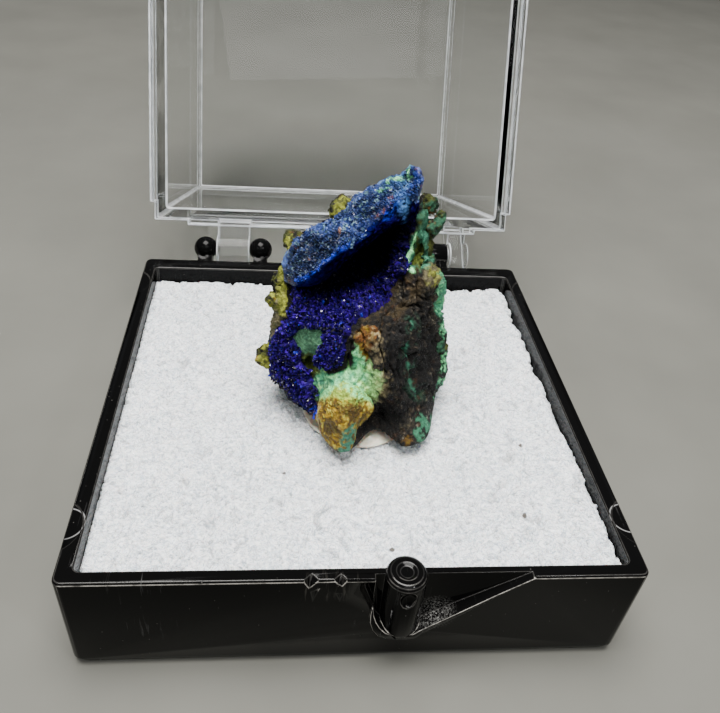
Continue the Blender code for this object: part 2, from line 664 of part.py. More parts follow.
def outline_radius(outline, centre, angles):
    """The distance from a centre to an outline in each direction."""
    corners = np.array(outline) - np.array(centre)
    found = np.zeros(len(angles))
    for start, end in zip(corners, np.roll(corners, -1, axis=0)):
        edge = end - start
        for i, angle in enumerate(angles):
            ray = np.array((math.cos(angle), math.sin(angle)))
            cross = ray[0] * edge[1] - ray[1] * edge[0]
            if abs(cross) < 1e-9:
                continue
            reach = (start[0] * edge[1] - start[1] * edge[0]) / cross
            share = (start[0] * ray[1] - start[1] * ray[0]) / cross
            if reach > 0 and -1e-9 <= share <= 1 + 1e-9:
                found[i] = max(found[i], reach)
    return found


def inside(outline, a, b):
    """True where a point is inside an outline."""
    corners = np.array(outline)
    result = np.zeros(np.shape(a), bool)
    for (a0, b0), (a1, b1) in zip(corners, np.roll(corners, -1, axis=0)):
        crosses = (b0 > b) != (b1 > b)
        rise = b1 - b0 if b1 != b0 else 1e-9
        result ^= crosses & (a < (a1 - a0) * (b - b0) / rise + a0)
    return result


def front_depth():
    """The front of the rock, with its pits."""
    plate = stretched_sheet(ROCK_FRONT, slack=0.4)

    def depth(a, b):
        c = plate(a, b)
        for pit_a, pit_b, wide, high, deep in PITS:
            c = c - deep * np.exp(-(((a - pit_a) / wide) ** 2) - ((b - pit_b) / high) ** 2)
        return c

    return depth


def disc_grid(cells):
    """A square grid pressed into a round one: each place's share of the way out, and its angle."""
    line = np.linspace(-1, 1, cells + 1)
    x, y = np.meshgrid(line, line)
    u = x * np.sqrt(1 - y**2 / 2)
    v = y * np.sqrt(1 - x**2 / 2)
    share = np.clip(np.hypot(u, v), 0, 1)
    return 1 - (1 - share) ** 1.25, np.arctan2(v, u)


def grid_faces(numbers, flip=False):
    """Triangles over a grid of vertex numbers, with their diagonals turned by turns."""
    faces = []
    for i in range(numbers.shape[0] - 1):
        for j in range(numbers.shape[1] - 1):
            p, q = int(numbers[i, j]), int(numbers[i, j + 1])
            r, s = int(numbers[i + 1, j]), int(numbers[i + 1, j + 1])
            pair = [[p, q, r], [q, s, r]] if (i + j) % 2 else [[p, q, s], [p, s, r]]
            faces += [face[::-1] for face in pair] if flip else pair
    return faces


def relief_body(outline, centre, front, rim, back, cells, jitter, powers=(7.0, 2.6)):
    """A closed body laid out on the leaning face: front, rim and back give c at a and b.
    cells is even, so that the diagonals at the grid's corners start from them."""
    share, angle = disc_grid(cells)
    turns = [angle.ravel() + turn for turn in np.linspace(-0.12, 0.12, 5)]
    reach = np.mean([outline_radius(outline, centre, turn) for turn in turns], axis=0)
    reach = reach.reshape(angle.shape)
    edge_a = centre[0] + reach * np.cos(angle)
    edge_b = centre[1] + reach * np.sin(angle)
    a = centre[0] + share * (edge_a - centre[0])
    b = centre[1] + share * (edge_b - centre[1])
    sides = []
    for face, power in zip((front, back), powers):
        hold = np.sqrt(np.clip(1 - share**power, 0, 1))
        sides.append(on_face(a, b, face(a, b) * hold + rim(edge_a, edge_b) * (1 - hold)))
    front_numbers = np.arange(share.size).reshape(share.shape)
    inner = np.zeros(share.shape, bool)
    inner[1:-1, 1:-1] = True
    back_numbers = front_numbers.copy()
    back_numbers[inner] = share.size + np.arange(inner.sum())
    points = np.concatenate((sides[0].reshape(-1, 3), sides[1][inner]))
    faces = grid_faces(front_numbers) + grid_faces(back_numbers, flip=True)
    return points + jitter(points), faces


def rock_jitter(points):
    """Lumps and ledges, held back where the crust lies."""
    rough = roughness(points, 3.2, 1) * 0.75 + roughness(points, 1.4, 2) * 0.3
    local = points - np.array(FACE_ORIGIN)
    c = local @ FACE_C
    taper = 1 - c / FACE_REACH
    a, b = local @ FACE_A / taper, local @ FACE_B / taper
    covered = inside(grown(CRUST_OUTLINE, 1.3), a, b) & (c > front_depth()(a, b) - 1.5)
    amount = np.where(covered, 0.0, rough)
    amount = amount * np.clip((points[:, 2] - ROCK_FLOOR - 1.6) / 4.0, 0, 1)
    outward = points - np.array(FACE_ORIGIN)
    outward = outward / np.linalg.norm(outward, axis=1)[:, None]
    return outward * amount[:, None]


def grown(outline, amount):
    """An outline moved outwards along its corners' normals."""
    corners = np.array(outline)
    along = np.roll(corners, -1, axis=0) - np.roll(corners, 1, axis=0)
    turn = np.sum(corners[:, 0] * np.roll(corners[:, 1], -1) - corners[:, 1] * np.roll(corners[:, 0], -1))
    normal = np.column_stack((along[:, 1], -along[:, 0])) * np.sign(turn)
    normal = normal / np.linalg.norm(normal, axis=1)[:, None]
    return corners + normal * amount


def sole_depth(b):
    """The c at which a place b on the leaning face meets the level that the rock stands on."""
    rise = b * math.cos(FACE_LEAN)
    return (ROCK_FLOOR - FACE_ORIGIN[2] - rise) / (math.sin(FACE_LEAN) - rise / FACE_REACH)


def rock_back(a, b):
    """The back stands upright and the foot lies flat: the nearer of the two, blended."""
    upright = BACK_DEPTH + 0.69 * b + 0.035 * (a - 1) ** 2
    blend = 1.2
    return blend * np.log(np.exp(upright / blend) + np.exp(sole_depth(b) / blend))


def slab_body():
    front = stretched_sheet(SLAB_FRONT, slack=0.2)

    def under(a, b):
        return front(a, b) - SLAB_THICK

    def middle(a, b):
        return front(a, b) - SLAB_THICK * 0.45

    def jitter(points):
        flat = pressed_flat(points)
        rough = roughness(flat, 0.9, 5) * 0.36 + roughness(flat, 2.4, 6) * 0.26
        return rough[:, None] * FACE_C

    return relief_body(SLAB_OUTLINE, (0.3, 8.9), front, middle, under, 12, jitter)


def lobe_body():
    """The limonite that bulges over the left foot."""
    front = stretched_sheet(LOBE_FRONT, slack=0.2)

    def under(a, b):
        return np.maximum(front(a, b) - 5.0, sole_depth(b) + 0.5)

    def middle(a, b):
        return np.maximum(front(a, b) - 2.4, sole_depth(b) + 1.0)

    def jitter(points):
        return (roughness(pressed_flat(points), 1.0, 9) * 0.25)[:, None] * FACE_C

    return relief_body(LOBE_OUTLINE, (0.2, -10.4), front, middle, under, 10, jitter, (2.6, 2.6))


def lump(a, b, c, radius, seed):
    centre = on_face(np.array([a]), np.array([b]), np.array([c]))[0]
    points, faces = ball(centre, radius, 2)
    rough = roughness(points, 1.4, seed) * 0.45
    return centre + (points - centre) * (1 + rough)[:, None], faces


def crystal(place, direction, spin, length, width):
    """A blade with a lozenge section and a chisel tip, its foot sunk below its place."""
    thick = width * 0.55
    foot, shoulder = -0.55, length * 0.6
    corners = [(-width / 2, 0), (0, -thick / 2), (width / 2, 0), (0, thick / 2)]
    local = [(x * 0.9, y * 0.9, foot) for x, y in corners]
    local += [(x, y, shoulder) for x, y in corners]
    local += [(-width * 0.28, 0, length), (width * 0.28, 0, length)]
    faces = [[3, 2, 1, 0]]
    faces += [[i, (i + 1) % 4, 4 + (i + 1) % 4, 4 + i] for i in range(4)]
    faces += [[4, 5, 8], [5, 9, 8], [5, 6, 9], [6, 7, 9], [7, 8, 9], [7, 4, 8]]
    turn = Vector((0, 0, 1)).rotation_difference(Vector(direction)).to_matrix()
    turn = np.array(turn @ Matrix.Rotation(spin, 3, "Z"))
    return np.array(local) @ turn.T + place, faces


def scatter(outline, margin, count, spacing, seed):
    """Seeded places inside an outline, no two nearer than spacing."""
    rng = np.random.default_rng(seed)
    region = grown(outline, -margin)
    low, high = region.min(axis=0), region.max(axis=0)
    places = []
    for _ in range(6000):
        spot = low + rng.random(2) * (high - low)
        apart = all(np.linalg.norm(spot - other) > spacing for other in places)
        if apart and inside(region, spot[0], spot[1]):
            places.append(spot)
        if len(places) == count:
            break
    return np.array(places), rng


def grow_crystals(surface, outline, margin, count, spacing, seed, sizes):
    """Separate crystals standing on a surface c(a, b)."""
    places, rng = scatter(outline, margin, count, spacing, seed)
    grown_ones = []
    for a, b in places:
        near = 0.35
        samples = np.array([(a, b), (a + near, b), (a, b + near)])
        spots = on_face(samples[:, 0], samples[:, 1], surface(samples[:, 0], samples[:, 1]))
        normal = np.cross(spots[1] - spots[0], spots[2] - spots[0])
        normal = normal / np.linalg.norm(normal)
        lean = normal + rng.normal(0, 0.28, 3)
        lean = lean / np.linalg.norm(lean)
        length = sizes[0] + rng.random() * (sizes[1] - sizes[0])
        width = 0.7 + rng.random() * 0.35
        grown_ones.append(crystal(spots[0], lean, rng.random() * math.pi, length, width))
    return joined(grown_ones)


def rock(finish):
    front_sheet = front_depth()
    rim_sheet = stretched_sheet(ROCK_RIM, slack=0.2)

    def front(a, b):
        return np.maximum(front_sheet(a, b), rock_back(a, b) + 2.2)

    def rim(a, b):
        return np.maximum(rim_sheet(a, b), rock_back(a, b) + 1.1)

    body = relief_body(ROCK_OUTLINE, (1.0, -1.0), front, rim, rock_back, 28, rock_jitter)
    made = add_object("specimen_rock", *body, finish)
    combine(made, "UNION", guide("slab_form", slab_body()))
    combine(made, "UNION", guide("lobe_form", lobe_body()))
    for number, place in enumerate(LUMPS):
        combine(made, "UNION", guide(f"lump_form_{number}", lump(*place, number + 10)))
    slab_front = stretched_sheet(SLAB_FRONT, slack=0.2)
    grains = grow_crystals(slab_front, SLAB_OUTLINE, 1.5, 22, 1.5, 5, (0.35, 0.7))
    combine(made, "UNION", guide("slab_crystals_form", grains), crossing=True)
    return made


def crust(finish):
    """The azurite lining: a thin sheet over the rock's front, cut to its outline, with crystals."""
    front = front_depth()
    cell = 0.93
    corners = np.array(CRUST_OUTLINE)
    low, high = corners.min(axis=0) - 1.03, corners.max(axis=0) + 1.03
    across = np.arange(low[0], high[0], cell)
    up = np.arange(low[1], high[1], cell)
    a, b = np.meshgrid(across, up)

    def inner(a, b):
        near = 0.2
        slope_a = (front(a + near, b) - front(a - near, b)) / (2 * near)
        slope_b = (front(a, b + near) - front(a, b - near)) / (2 * near)
        return front(a, b) + CRUST_GAP * np.sqrt(1 + slope_a**2 + slope_b**2)

    def outer(a, b):
        return inner(a, b) + CRUST_THICK

    base = inner(a, b)
    spots = on_face(a, b, base)
    swell = roughness(spots, 1.2, 8) * 0.3
    top = on_face(a, b, base + CRUST_THICK + np.clip(swell, -0.25, 0.4))
    rows, columns = a.shape
    count = rows * columns
    points = np.concatenate((top.reshape(-1, 3), spots.reshape(-1, 3)))
    numbers = np.arange(count).reshape(rows, columns)
    faces = grid_faces(numbers) + grid_faces(numbers + count, flip=True)
    border = [j for j in range(columns)]
    border += [i * columns + columns - 1 for i in range(1, rows)]
    border += [(rows - 1) * columns + j for j in range(columns - 2, -1, -1)]
    border += [i * columns for i in range(rows - 2, 0, -1)]
    for here, there in zip(border, border[1:] + border[:1]):
        faces.append([here, count + here, count + there, there])
    made = add_object("azurite_crust", points, faces, finish)

    ends = [on_face(corners[:, 0], corners[:, 1], np.full(len(corners), c)) for c in (-9.0, 9.0)]
    stamp = loft(ends[::-1])
    combine(made, "INTERSECT", guide("crust_stamp", stamp))
    crystals = grow_crystals(outer, CRUST_OUTLINE, 0.62, CRYSTAL_COUNT, CRYSTAL_SPACING, 4, (0.5, 1.1))
    combine(made, "UNION", guide("crust_crystals_form", crystals), crossing=True)
    return made


def main():
    clear_scene()
    tray(material("black_polystyrene", (0.012, 0.012, 0.014), 0.16))
    lid(material("clear_polystyrene", (0.93, 0.95, 0.95), 0.05, transmission=0.9))
    foam(material("white_foam", (0.86, 0.87, 0.88), 0.85))
    putty(material("cream_putty", (0.72, 0.63, 0.48), 0.7))
    rock(material("goethite_and_malachite", (0.13, 0.11, 0.08), 0.8))
    crust(material("azurite", (0.03, 0.03, 0.42), 0.3))


main()
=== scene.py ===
"""Dressing for the azurite specimen in its small hinged display box.

Shapes are worked out in millimetres on whole numpy arrays and become meshes in metres. The specimen is
laid out on a face that leans back: a runs across it, b up it and c out of it, towards whoever looks.
"""

import math

import bpy
import numpy as np
from mathutils import Matrix, Vector


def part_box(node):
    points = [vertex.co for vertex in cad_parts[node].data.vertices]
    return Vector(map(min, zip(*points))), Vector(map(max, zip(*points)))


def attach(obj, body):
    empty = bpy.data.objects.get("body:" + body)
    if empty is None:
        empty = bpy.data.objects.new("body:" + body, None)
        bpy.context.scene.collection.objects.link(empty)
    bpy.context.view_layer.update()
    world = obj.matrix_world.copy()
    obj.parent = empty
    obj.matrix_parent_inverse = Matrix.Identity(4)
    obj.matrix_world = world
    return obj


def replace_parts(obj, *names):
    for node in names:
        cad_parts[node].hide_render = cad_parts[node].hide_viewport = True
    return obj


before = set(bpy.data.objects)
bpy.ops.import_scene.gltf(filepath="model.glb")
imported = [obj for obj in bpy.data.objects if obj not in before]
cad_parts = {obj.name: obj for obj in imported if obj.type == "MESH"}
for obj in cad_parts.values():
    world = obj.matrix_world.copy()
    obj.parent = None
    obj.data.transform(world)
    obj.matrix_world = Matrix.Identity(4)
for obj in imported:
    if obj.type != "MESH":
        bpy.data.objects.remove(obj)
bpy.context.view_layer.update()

MM = 0.001
FOAM = np.array(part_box("foam_insert")) / MM
PAD = np.array(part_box("putty_pad")) / MM

# Box
WALL_FRONT = -26.0  # the front wall's face at its upper edge
RIM_TOP = 12.3
CHIPS = [(-4.45, 1.45, 1.05), (-1.95, 1.30, 0.85)]  # x, half width, depth
UNDER_CHIPS = [(-4.35, -25.95, 10.05), (-1.95, -25.95, 10.05)]  # where the edge isn't rubbed
EJECTOR_MARKS = [(-26.2, -19.6, 12.2), (26.2, -19.4, 12.2)]
RAMP_FOOT = (6.9, -25.6, 6.8)
POST_X = 3.85
POST_Y = -25.33
POST_CLEAR = 2.35  # radius of the foam's notch round the post
POST_MIDDLES = [(POST_X, POST_Y, 13.4), (POST_X, POST_Y, 9.6)]
FOAM_LOW = FOAM[0, 2]
FOAM_TOP = FOAM[1, 2]
FOAM_LEFT = FOAM[0, 0] - 0.27  # pressed out against the left and front walls
FOAM_FRONT = FOAM[0, 1] - 0.27
FOAM_RIGHT = 24.37  # where the right and back edges lay before they tore
FOAM_BACK = 23.56
TRAY_EDGE = 0.06  # radii of the softened edges
LID_EDGE = 0.16
BEVEL_ANGLE = math.radians(22)
WELD_GAP = 0.002
LID_MOUTH = np.array((0.0, -0.924, 0.383))  # the way the open lid's mouth faces
LID_RIM = -18.62  # the rim's place along that way

# How many cells each surface has across it, and how many crystals stand on it
ROCK_CELLS = 216
SLAB_CELLS = 150
LOBE_CELLS = 120
KNOB_CELLS = 56
FOAM_CELLS = 280
PUTTY_CELLS = 96
DRUSE_CRYSTALS = 9500
SLAB_CRYSTALS = 6500

# How a relief bends to its rim, as a power: a flat face with a tight rim, or rounded all over
FLAT = 7.0
ROUND = 2.6

# The specimen's leaning face
FACE_ORIGIN = np.array((-0.4, -2.0, 23.8))
FACE_LEAN = math.radians(34.6)
FACE_TURN = math.radians(6.7)
FACE_REACH = 78.5
BACK_DEPTH = -13.0
ROCK_FLOOR = PAD[1, 2] + 0.2

LEAN = Matrix.Rotation(-FACE_TURN, 3, "Z") @ Matrix.Rotation(-FACE_LEAN, 3, "X")
FACE_A = np.array(LEAN @ Vector((1, 0, 0)))
FACE_B = np.array(LEAN @ Vector((0, 0, 1)))
FACE_C = np.array(LEAN @ Vector((0, -1, 0)))

# Rock, as (a, b) outlines and (a, b, c) pegs
ROCK_CENTRE = (1.0, -1.0)
ROCK_OUTLINE = [
    (8.1, -13.2), (9.3, -12.4), (9.3, -10.0), (9.7, -7.6), (10.5, -6.0), (10.3, -3.0), (9.5, -0.3),
    (9.4, 1.8), (9.9, 4.0), (9.2, 5.0), (8.0, 5.8), (7.8, 7.4), (7.5, 9.4), (6.9, 11.4),
    (6.2, 12.8), (5.0, 13.2), (2.7, 12.7), (0.4, 11.4), (-1.4, 10.3), (-2.9, 9.2), (-4.4, 7.9),
    (-5.9, 6.8), (-7.0, 5.0), (-7.7, 3.4), (-8.1, 1.5), (-8.0, -0.7), (-7.8, -3.0), (-8.1, -5.2),
    (-7.8, -7.2), (-7.4, -8.0), (-6.0, -8.6), (-5.5, -9.7), (-3.3, -10.9), (-2.3, -11.7),
    (-1.3, -13.2), (-0.6, -14.3), (1.0, -14.7), (1.7, -14.3), (2.3, -12.9), (3.1, -12.2),
    (4.2, -11.8), (5.0, -11.9), (5.5, -13.3), (6.6, -13.7),
]
ROCK_RIM = [
    (0.8, -14.7, 0.3), (-2.4, -11.6, -1.6), (-5.6, -9.8, -3.4), (-7.8, -7.8, -4.4),
    (-8.2, -5.0, -4.0), (-7.9, -1.0, -1.6), (-8.0, 1.5, -0.4), (-7.2, 4.8, 0.0), (-5.9, 7.8, -0.6),
    (-2.8, 10.4, -1.2), (0.4, 12.4, -1.2), (3.0, 13.7, 0.2), (5.4, 13.8, 2.0), (6.6, 12.2, 1.6),
    (7.6, 8.8, 0.0), (8.0, 5.8, -1.0), (9.7, 4.4, -2.6), (9.4, 0.5, -5.6), (10.4, -4.0, -7.0),
    (9.6, -8.6, -5.6), (9.2, -12.2, -2.6), (6.6, -13.7, -1.6), (4.4, -11.9, -4.0),
    (2.6, -12.6, -2.6),
]
ROCK_FRONT = [
    (0.9, -13.8, 1.0), (0.5, -10.8, 2.6), (0.2, -8.3, 3.0), (0.6, -6.7, 1.9), (-1.6, -10.6, 1.0),
    (3.4, -10.8, -3.4), (7.2, -12.4, -0.6), (5.9, -2.6, 3.0), (6.0, -8.8, 0.8), (7.5, 2.8, 2.2),
    (9.0, -3.3, -3.4), (8.4, -8.6, -2.4), (2.7, -1.3, 4.2), (1.3, -2.7, 4.2), (-1.2, -4.4, 2.6),
    (-4.0, -3.5, 1.8), (-6.4, -3.2, 0.8), (-5.5, -7.7, -1.8), (-3.0, -10.4, -1.8),
    (-7.2, -6.6, -2.8), (-5.7, 0.5, 1.6), (-0.6, 0.2, 1.4), (3.9, 1.6, 1.4), (-0.3, 3.6, -3.0),
    (2.0, 6.4, -4.6), (3.6, 9.0, -3.4), (-3.9, 3.0, -1.6), (-2.7, 7.0, -3.0), (0.6, 9.6, -3.4),
    (-5.6, 6.6, 1.4), (-3.6, 8.6, 1.0), (-1.2, 10.6, 0.6), (1.4, 12.2, 0.8), (3.6, 12.9, 2.4),
    (5.5, 12.6, 3.6), (6.0, 10.0, 3.0), (6.1, 7.8, 3.0), (6.1, 5.2, 3.0), (7.4, 7.4, 1.8),
    (-6.8, 2.6, 1.4),
]
PITS = [(-3.5, -5.9, 0.7, 1.25, 2.4), (6.4, 6.3, 0.62, 1.5, 2.6)]  # a, b, half width, half height, depth

SLAB_CENTRE = (0.3, 8.9)
SLAB_OUTLINE = [
    (6.5, 13.4), (6.4, 15.0), (5.5, 16.2), (4.5, 15.4), (3.0, 14.6), (1.8, 13.5), (0.2, 12.4),
    (-1.0, 11.0), (-2.4, 9.6), (-3.4, 9.1), (-5.3, 8.1), (-6.2, 7.2), (-7.4, 6.0), (-8.0, 4.4),
    (-7.9, 3.1), (-7.1, 2.2), (-5.7, 1.9), (-4.4, 2.3), (-3.0, 3.6), (-1.4, 5.2), (0.5, 6.7),
    (1.9, 7.8), (3.4, 9.1), (5.0, 9.8), (6.1, 10.8),
]
SLAB_FRONT = [
    (-6.9, 3.0, 3.5), (-5.4, 2.2, 4.6), (-2.6, 3.9, 6.2), (-1.0, 5.6, 6.8), (1.6, 7.9, 6.3),
    (3.8, 10.0, 5.4), (-4.7, 5.8, 4.4), (-1.3, 8.4, 4.6), (1.6, 11.0, 4.4), (4.0, 13.3, 5.0),
    (-5.8, 6.9, 3.0), (-2.4, 9.6, 2.8), (0.1, 12.2, 2.8), (2.7, 14.1, 3.6), (5.4, 15.5, 6.0),
    (6.0, 13.0, 5.6),
]
SLAB_THICK = 3.6
SLAB_HOLE = (-4.6, 6.5)

ROCK_LEAST = 2.2  # least thickness of the rock
DRUSE_RISE = 0.72  # how far the blue lining stands above the rock
DRUSE_THICK = 0.8
LOBE_THICK = 5.0
LOBE_RIM = 2.4  # how far the lobe's rim lies behind its front

LOBE_CENTRE = (0.2, -10.4)
LOBE_OUTLINE = [
    (-0.8, -14.2), (0.3, -14.7), (1.3, -14.4), (1.6, -13.3), (1.8, -12.0), (2.4, -11.2),
    (3.4, -9.9), (2.9, -8.8), (1.5, -7.6), (0.1, -7.1), (-1.0, -7.5), (-2.0, -8.3), (-2.4, -9.4),
    (-2.5, -11.3), (-1.8, -13.1),
]
LOBE_FRONT = [
    (0.4, -10.6, 4.2), (0.2, -8.3, 3.9), (0.6, -13.4, 2.4), (-1.9, -9.6, 2.6), (2.6, -9.6, 2.8),
    (-1.6, -12.2, 1.8), (1.7, -11.8, 2.8), (0.4, -12.2, 3.6),
]

KNOBS = [  # a, b, c, radius, how rusty, leaf colour
    (7.2, 11.3, 0.8, 1.0, 0.3, "green"), (8.3, 10.4, 0.5, 0.8, 0.0, "green"),
    (7.6, 9.3, 0.5, 0.9, -0.2, "green"), (-8.1, -5.1, -3.9, 1.25, -0.1, "yellow"),
    (-6.4, 6.2, 0.4, 1.15, -0.3, "yellow"), (-1.9, 10.0, 0.6, 1.5, -0.3, "yellow"),
    (9.4, -2.8, -5.0, 1.1, 0.0, "green"), (-7.5, 2.4, -0.2, 0.95, -0.1, "yellow"),
    (-7.6, 0.4, -0.4, 0.9, 0.0, "yellow"),
]

# Where each mineral lies, as (a, b) outlines
DRUSE = [
    (5.9, 4.9), (4.6, 3.4), (3.7, 1.4), (2.3, -0.2), (0.9, -0.9), (-0.1, -2.4), (-0.2, -4.8),
    (-1.0, -5.9), (-2.4, -6.3), (-2.9, -5.2), (-2.5, -3.4), (-2.6, -2.5), (-3.9, -2.3),
    (-5.2, -2.2), (-5.6, -3.5), (-5.0, -4.7), (-4.5, -6.4), (-3.0, -7.6), (-2.5, -9.4),
    (-2.7, -11.6), (-5.4, -10.2), (-6.1, -9.0), (-7.9, -8.3), (-8.6, -6.4), (-8.4, -4.2),
    (-6.9, -2.6), (-5.9, -1.2), (-5.9, 0.4), (-6.0, 1.6), (-6.1, 3.2), (-4.6, 5.2), (-2.6, 8.4),
    (0.0, 11.0), (3.4, 12.4), (6.0, 12.4), (5.7, 9.0), (5.3, 7.2), (5.2, 5.9),
]
MINT = [
    (-2.6, -8.6), (-2.6, -7.2), (-1.6, -6.7), (0.0, -6.2), (0.6, -5.4), (0.7, -3.5), (1.3, -4.1),
    (2.2, -5.3), (3.5, -6.0), (4.1, -6.6), (3.7, -7.9), (3.4, -9.3), (2.6, -9.0), (1.0, -8.1),
    (-0.3, -7.9), (-1.6, -8.6), (-2.3, -9.6),
]
OCHRE = [
    (-2.9, -10.5), (-2.1, -9.3), (-0.9, -8.2), (0.2, -8.0), (1.0, -8.6), (2.7, -9.3), (2.9, -10.4),
    (1.6, -11.8), (0.7, -12.4), (0.4, -14.9), (-1.4, -14.9), (-2.8, -12.6),
]
RUST = [
    (0.3, -2.8), (1.1, -1.7), (2.4, -1.1), (3.4, -1.8), (3.2, -3.1), (2.4, -4.3), (2.1, -5.5),
    (1.2, -4.4),
]
CREAM = [(2.2, -1.4), (3.1, -1.2), (3.3, -2.5), (2.4, -2.4)]
WINDOW = [
    (-6.0, -3.5), (-5.5, -1.7), (-3.9, -1.7), (-1.9, -1.9), (-1.6, -3.1), (-2.5, -4.5), (-3.6, -5.2),
    (-5.1, -5.0),
]
PIT_LEFT = [(-4.5, -5.4), (-4.1, -4.6), (-3.1, -5.7), (-2.5, -6.9), (-3.4, -7.3), (-4.2, -6.4)]
PIT_GREEN = [
    (-3.9, -4.6), (-2.8, -5.0), (-2.2, -6.3), (-1.6, -6.8), (-2.0, -8.6), (-3.0, -8.2),
    (-2.7, -6.7),
]
PIT_RIGHT = [(5.8, 6.5), (6.2, 7.9), (6.8, 6.9), (6.9, 5.6), (6.6, 4.9), (6.0, 5.4)]
COLUMN = [
    (5.6, 7.6), (5.9, 9.0), (6.3, 11.4), (7.2, 11.4), (7.7, 10.2), (8.3, 6.0), (7.6, 5.4), (6.9, 4.6),
    (5.5, 4.4), (5.2, 6.2),
]
COLUMN_RIM = [(6.2, 4.5), (5.5, 4.9), (5.4, 6.1), (5.8, 7.2), (6.1, 8.4)]
DUSTED = [
    (2.4, -3.8), (3.4, -2.4), (4.3, -4.6), (4.7, -7.2), (4.1, -9.0), (3.2, -9.4), (3.2, -7.4),
    (3.4, -6.0),
]
EDGE_GREEN = [
    (9.4, 5.4), (10.3, 4.6), (10.3, 2.0), (10.0, -1.2), (11.0, -1.8), (11.0, -7.0), (10.1, -9.0),
    (9.4, -8.6), (9.9, -6.9), (9.8, -3.6), (9.2, -0.7), (8.6, 1.6), (9.2, 3.8),
]
WARM = [(2.6, -0.8), (6.4, 3.4)]
VEIN = [(6.3, -0.6), (6.5, -2.6), (6.4, -3.9), (6.7, -5.5), (7.3, -7.3), (7.8, -8.2)]
FOOT_GREEN = [(7.6, -10.4), (9.6, -9.9), (9.9, -12.1), (8.7, -13.4), (7.5, -12.2)]
LOBE_GREEN = [(0.5, -12.2), (1.9, -11.6), (2.0, -13.0), (1.9, -14.8), (0.4, -14.8)]
FOOT_ORANGE = [(6.3, -12.8), (7.4, -12.2), (7.9, -13.3), (6.7, -13.9)]
KHAKI = [(7.3, 5.4), (9.8, 5.4), (9.6, 3.9), (8.4, 3.1), (7.2, 4.2)]
LEFT_CRUST = [
    (-7.2, 6.0), (-9.0, 3.5), (-9.0, -3.4), (-7.4, -3.4), (-6.7, -1.4), (-6.8, 0.2), (-6.8, 1.6),
    (-6.4, 3.0), (-5.4, 5.0), (-4.2, 7.2),
]
YELLOW = [(-7.0, 2.6), (-6.5, 1.6), (-6.7, 0.2), (-6.4, -1.4), (-6.9, -1.0), (-7.2, 0.4), (-7.1, 1.6)]
SLAB_LIP = [
    (-6.2, 2.4), (-4.9, 3.1), (-3.7, 3.9), (-3.4, 4.7), (-2.7, 5.3), (-1.8, 6.1), (-0.8, 6.7),
]
# The slab's face below the lip, painted near-black as shade, without gloss or crystals.
SLAB_SHADED_FACE = [
    (-6.1, 2.3), (-4.8, 3.1), (-3.5, 4.0), (-3.4, 4.6), (-2.7, 5.3), (-0.8, 6.6), (0.4, 7.5),
    (0.7, 8.7), (2.3, 9.9), (3.4, 11.3), (4.8, 12.4), (6.9, 12.0), (6.4, 10.0), (3.6, 8.4),
    (0.5, 5.8), (-3.0, 2.6), (-5.0, 1.2), (-6.6, 1.6),
]
SLAB_LIP_HIGH = [(0.3, 7.6), (0.7, 8.8), (1.5, 9.4)]
TIP_LINE = [(2.6, 10.2), (3.6, 11.5), (4.9, 12.5), (5.3, 13.4), (5.6, 14.6), (5.4, 15.6)]
TIP_STREAKS = [(1.6, 12.2), (2.9, 13.7), (5.0, 15.8), (5.1, 14.6), (4.2, 13.0), (2.9, 12.4)]
# The hollow under the slab, where the druse is painted near-black as shade.
HOLLOW_SHADE = [
    (-5.2, 1.6), (-4.2, 0.8), (-2.7, 0.7), (0.1, 1.7), (2.9, 3.0), (4.1, 4.8), (4.9, 6.6), (5.4, 8.0),
    (5.8, 10.2), (4.6, 12.4), (-1.0, 10.4), (-6.0, 5.0),
]

# Colours, in linear light
AZURITE = (0.0055, 0.0002, 0.062)
# Near-black azurite: the darkest crystals' own colour, and painted shade in the hollow, under the druse,
# under the slab and on its face below the lip.
AZURITE_DARK_AND_SHADE = (0.0006, 0.0005, 0.004)
AZURITE_VIOLET = (0.026, 0.0006, 0.185)
COBALT = (0.014, 0.042, 0.480)
NAVY = (0.005, 0.012, 0.056)
SLATE = (0.044, 0.078, 0.232)
SAGE = (0.095, 0.170, 0.150)
MALACHITE = (0.080, 0.400, 0.200)
MALACHITE_PALE = (0.270, 0.800, 0.330)
MALACHITE_DARK = (0.014, 0.070, 0.038)
TEAL = (0.045, 0.190, 0.115)
OCHRE_GOLD = (0.310, 0.192, 0.005)
OCHRE_DARK = (0.140, 0.070, 0.004)
OCHRE_PALE = (0.520, 0.470, 0.060)
RUST_RED = (0.180, 0.062, 0.006)
CREAM_WHITE = (0.540, 0.440, 0.230)
GOETHITE = (0.0022, 0.0014, 0.0007)
GOETHITE_GREY = (0.052, 0.039, 0.025)
KHAKI_GREY = (0.120, 0.105, 0.055)
OLIVE = (0.050, 0.060, 0.007)
LIME = (0.230, 0.250, 0.030)
LIME_PALE = (0.550, 0.800, 0.220)
WARM_BROWN = (0.062, 0.042, 0.014)
PALE_FLECK = (0.170, 0.150, 0.110)
WINDOW_GREEN = (0.080, 0.210, 0.110)
WINDOW_DEEP = (0.045, 0.130, 0.075)
VUG_LEFT = (0.085, 0.120, 0.020)
VUG_RIGHT = (0.090, 0.120, 0.015)
TIP_BLUE = (0.090, 0.240, 0.500)
PALE_BLUE = (0.340, 0.440, 0.600)
OCHRE_SHADE = (0.050, 0.030, 0.003)
LEAF_GREEN = (0.300, 0.500, 0.060)
MINT_GREEN = (0.200, 0.660, 0.240)


# Noise, as whole arrays ----------------------------------------------------------------------------


def lattice(ix, iy, iz, seed):
    """Repeatable values in 0 to 1 for whole-number places: the place's numbers are multiplied by
    large odd numbers, added, and their bits are folded over each other."""
    h = ix * 374761393 + iy * 668265263 + iz * 1440662683 + seed * 1274126177
    h = (h ^ (h >> 13)) & 0xFFFFFFFF
    h = (h * 1274126177) & 0xFFFFFFFF
    h = (h ^ (h >> 16)) & 0xFFFFFF
    return h / 0xFFFFFF


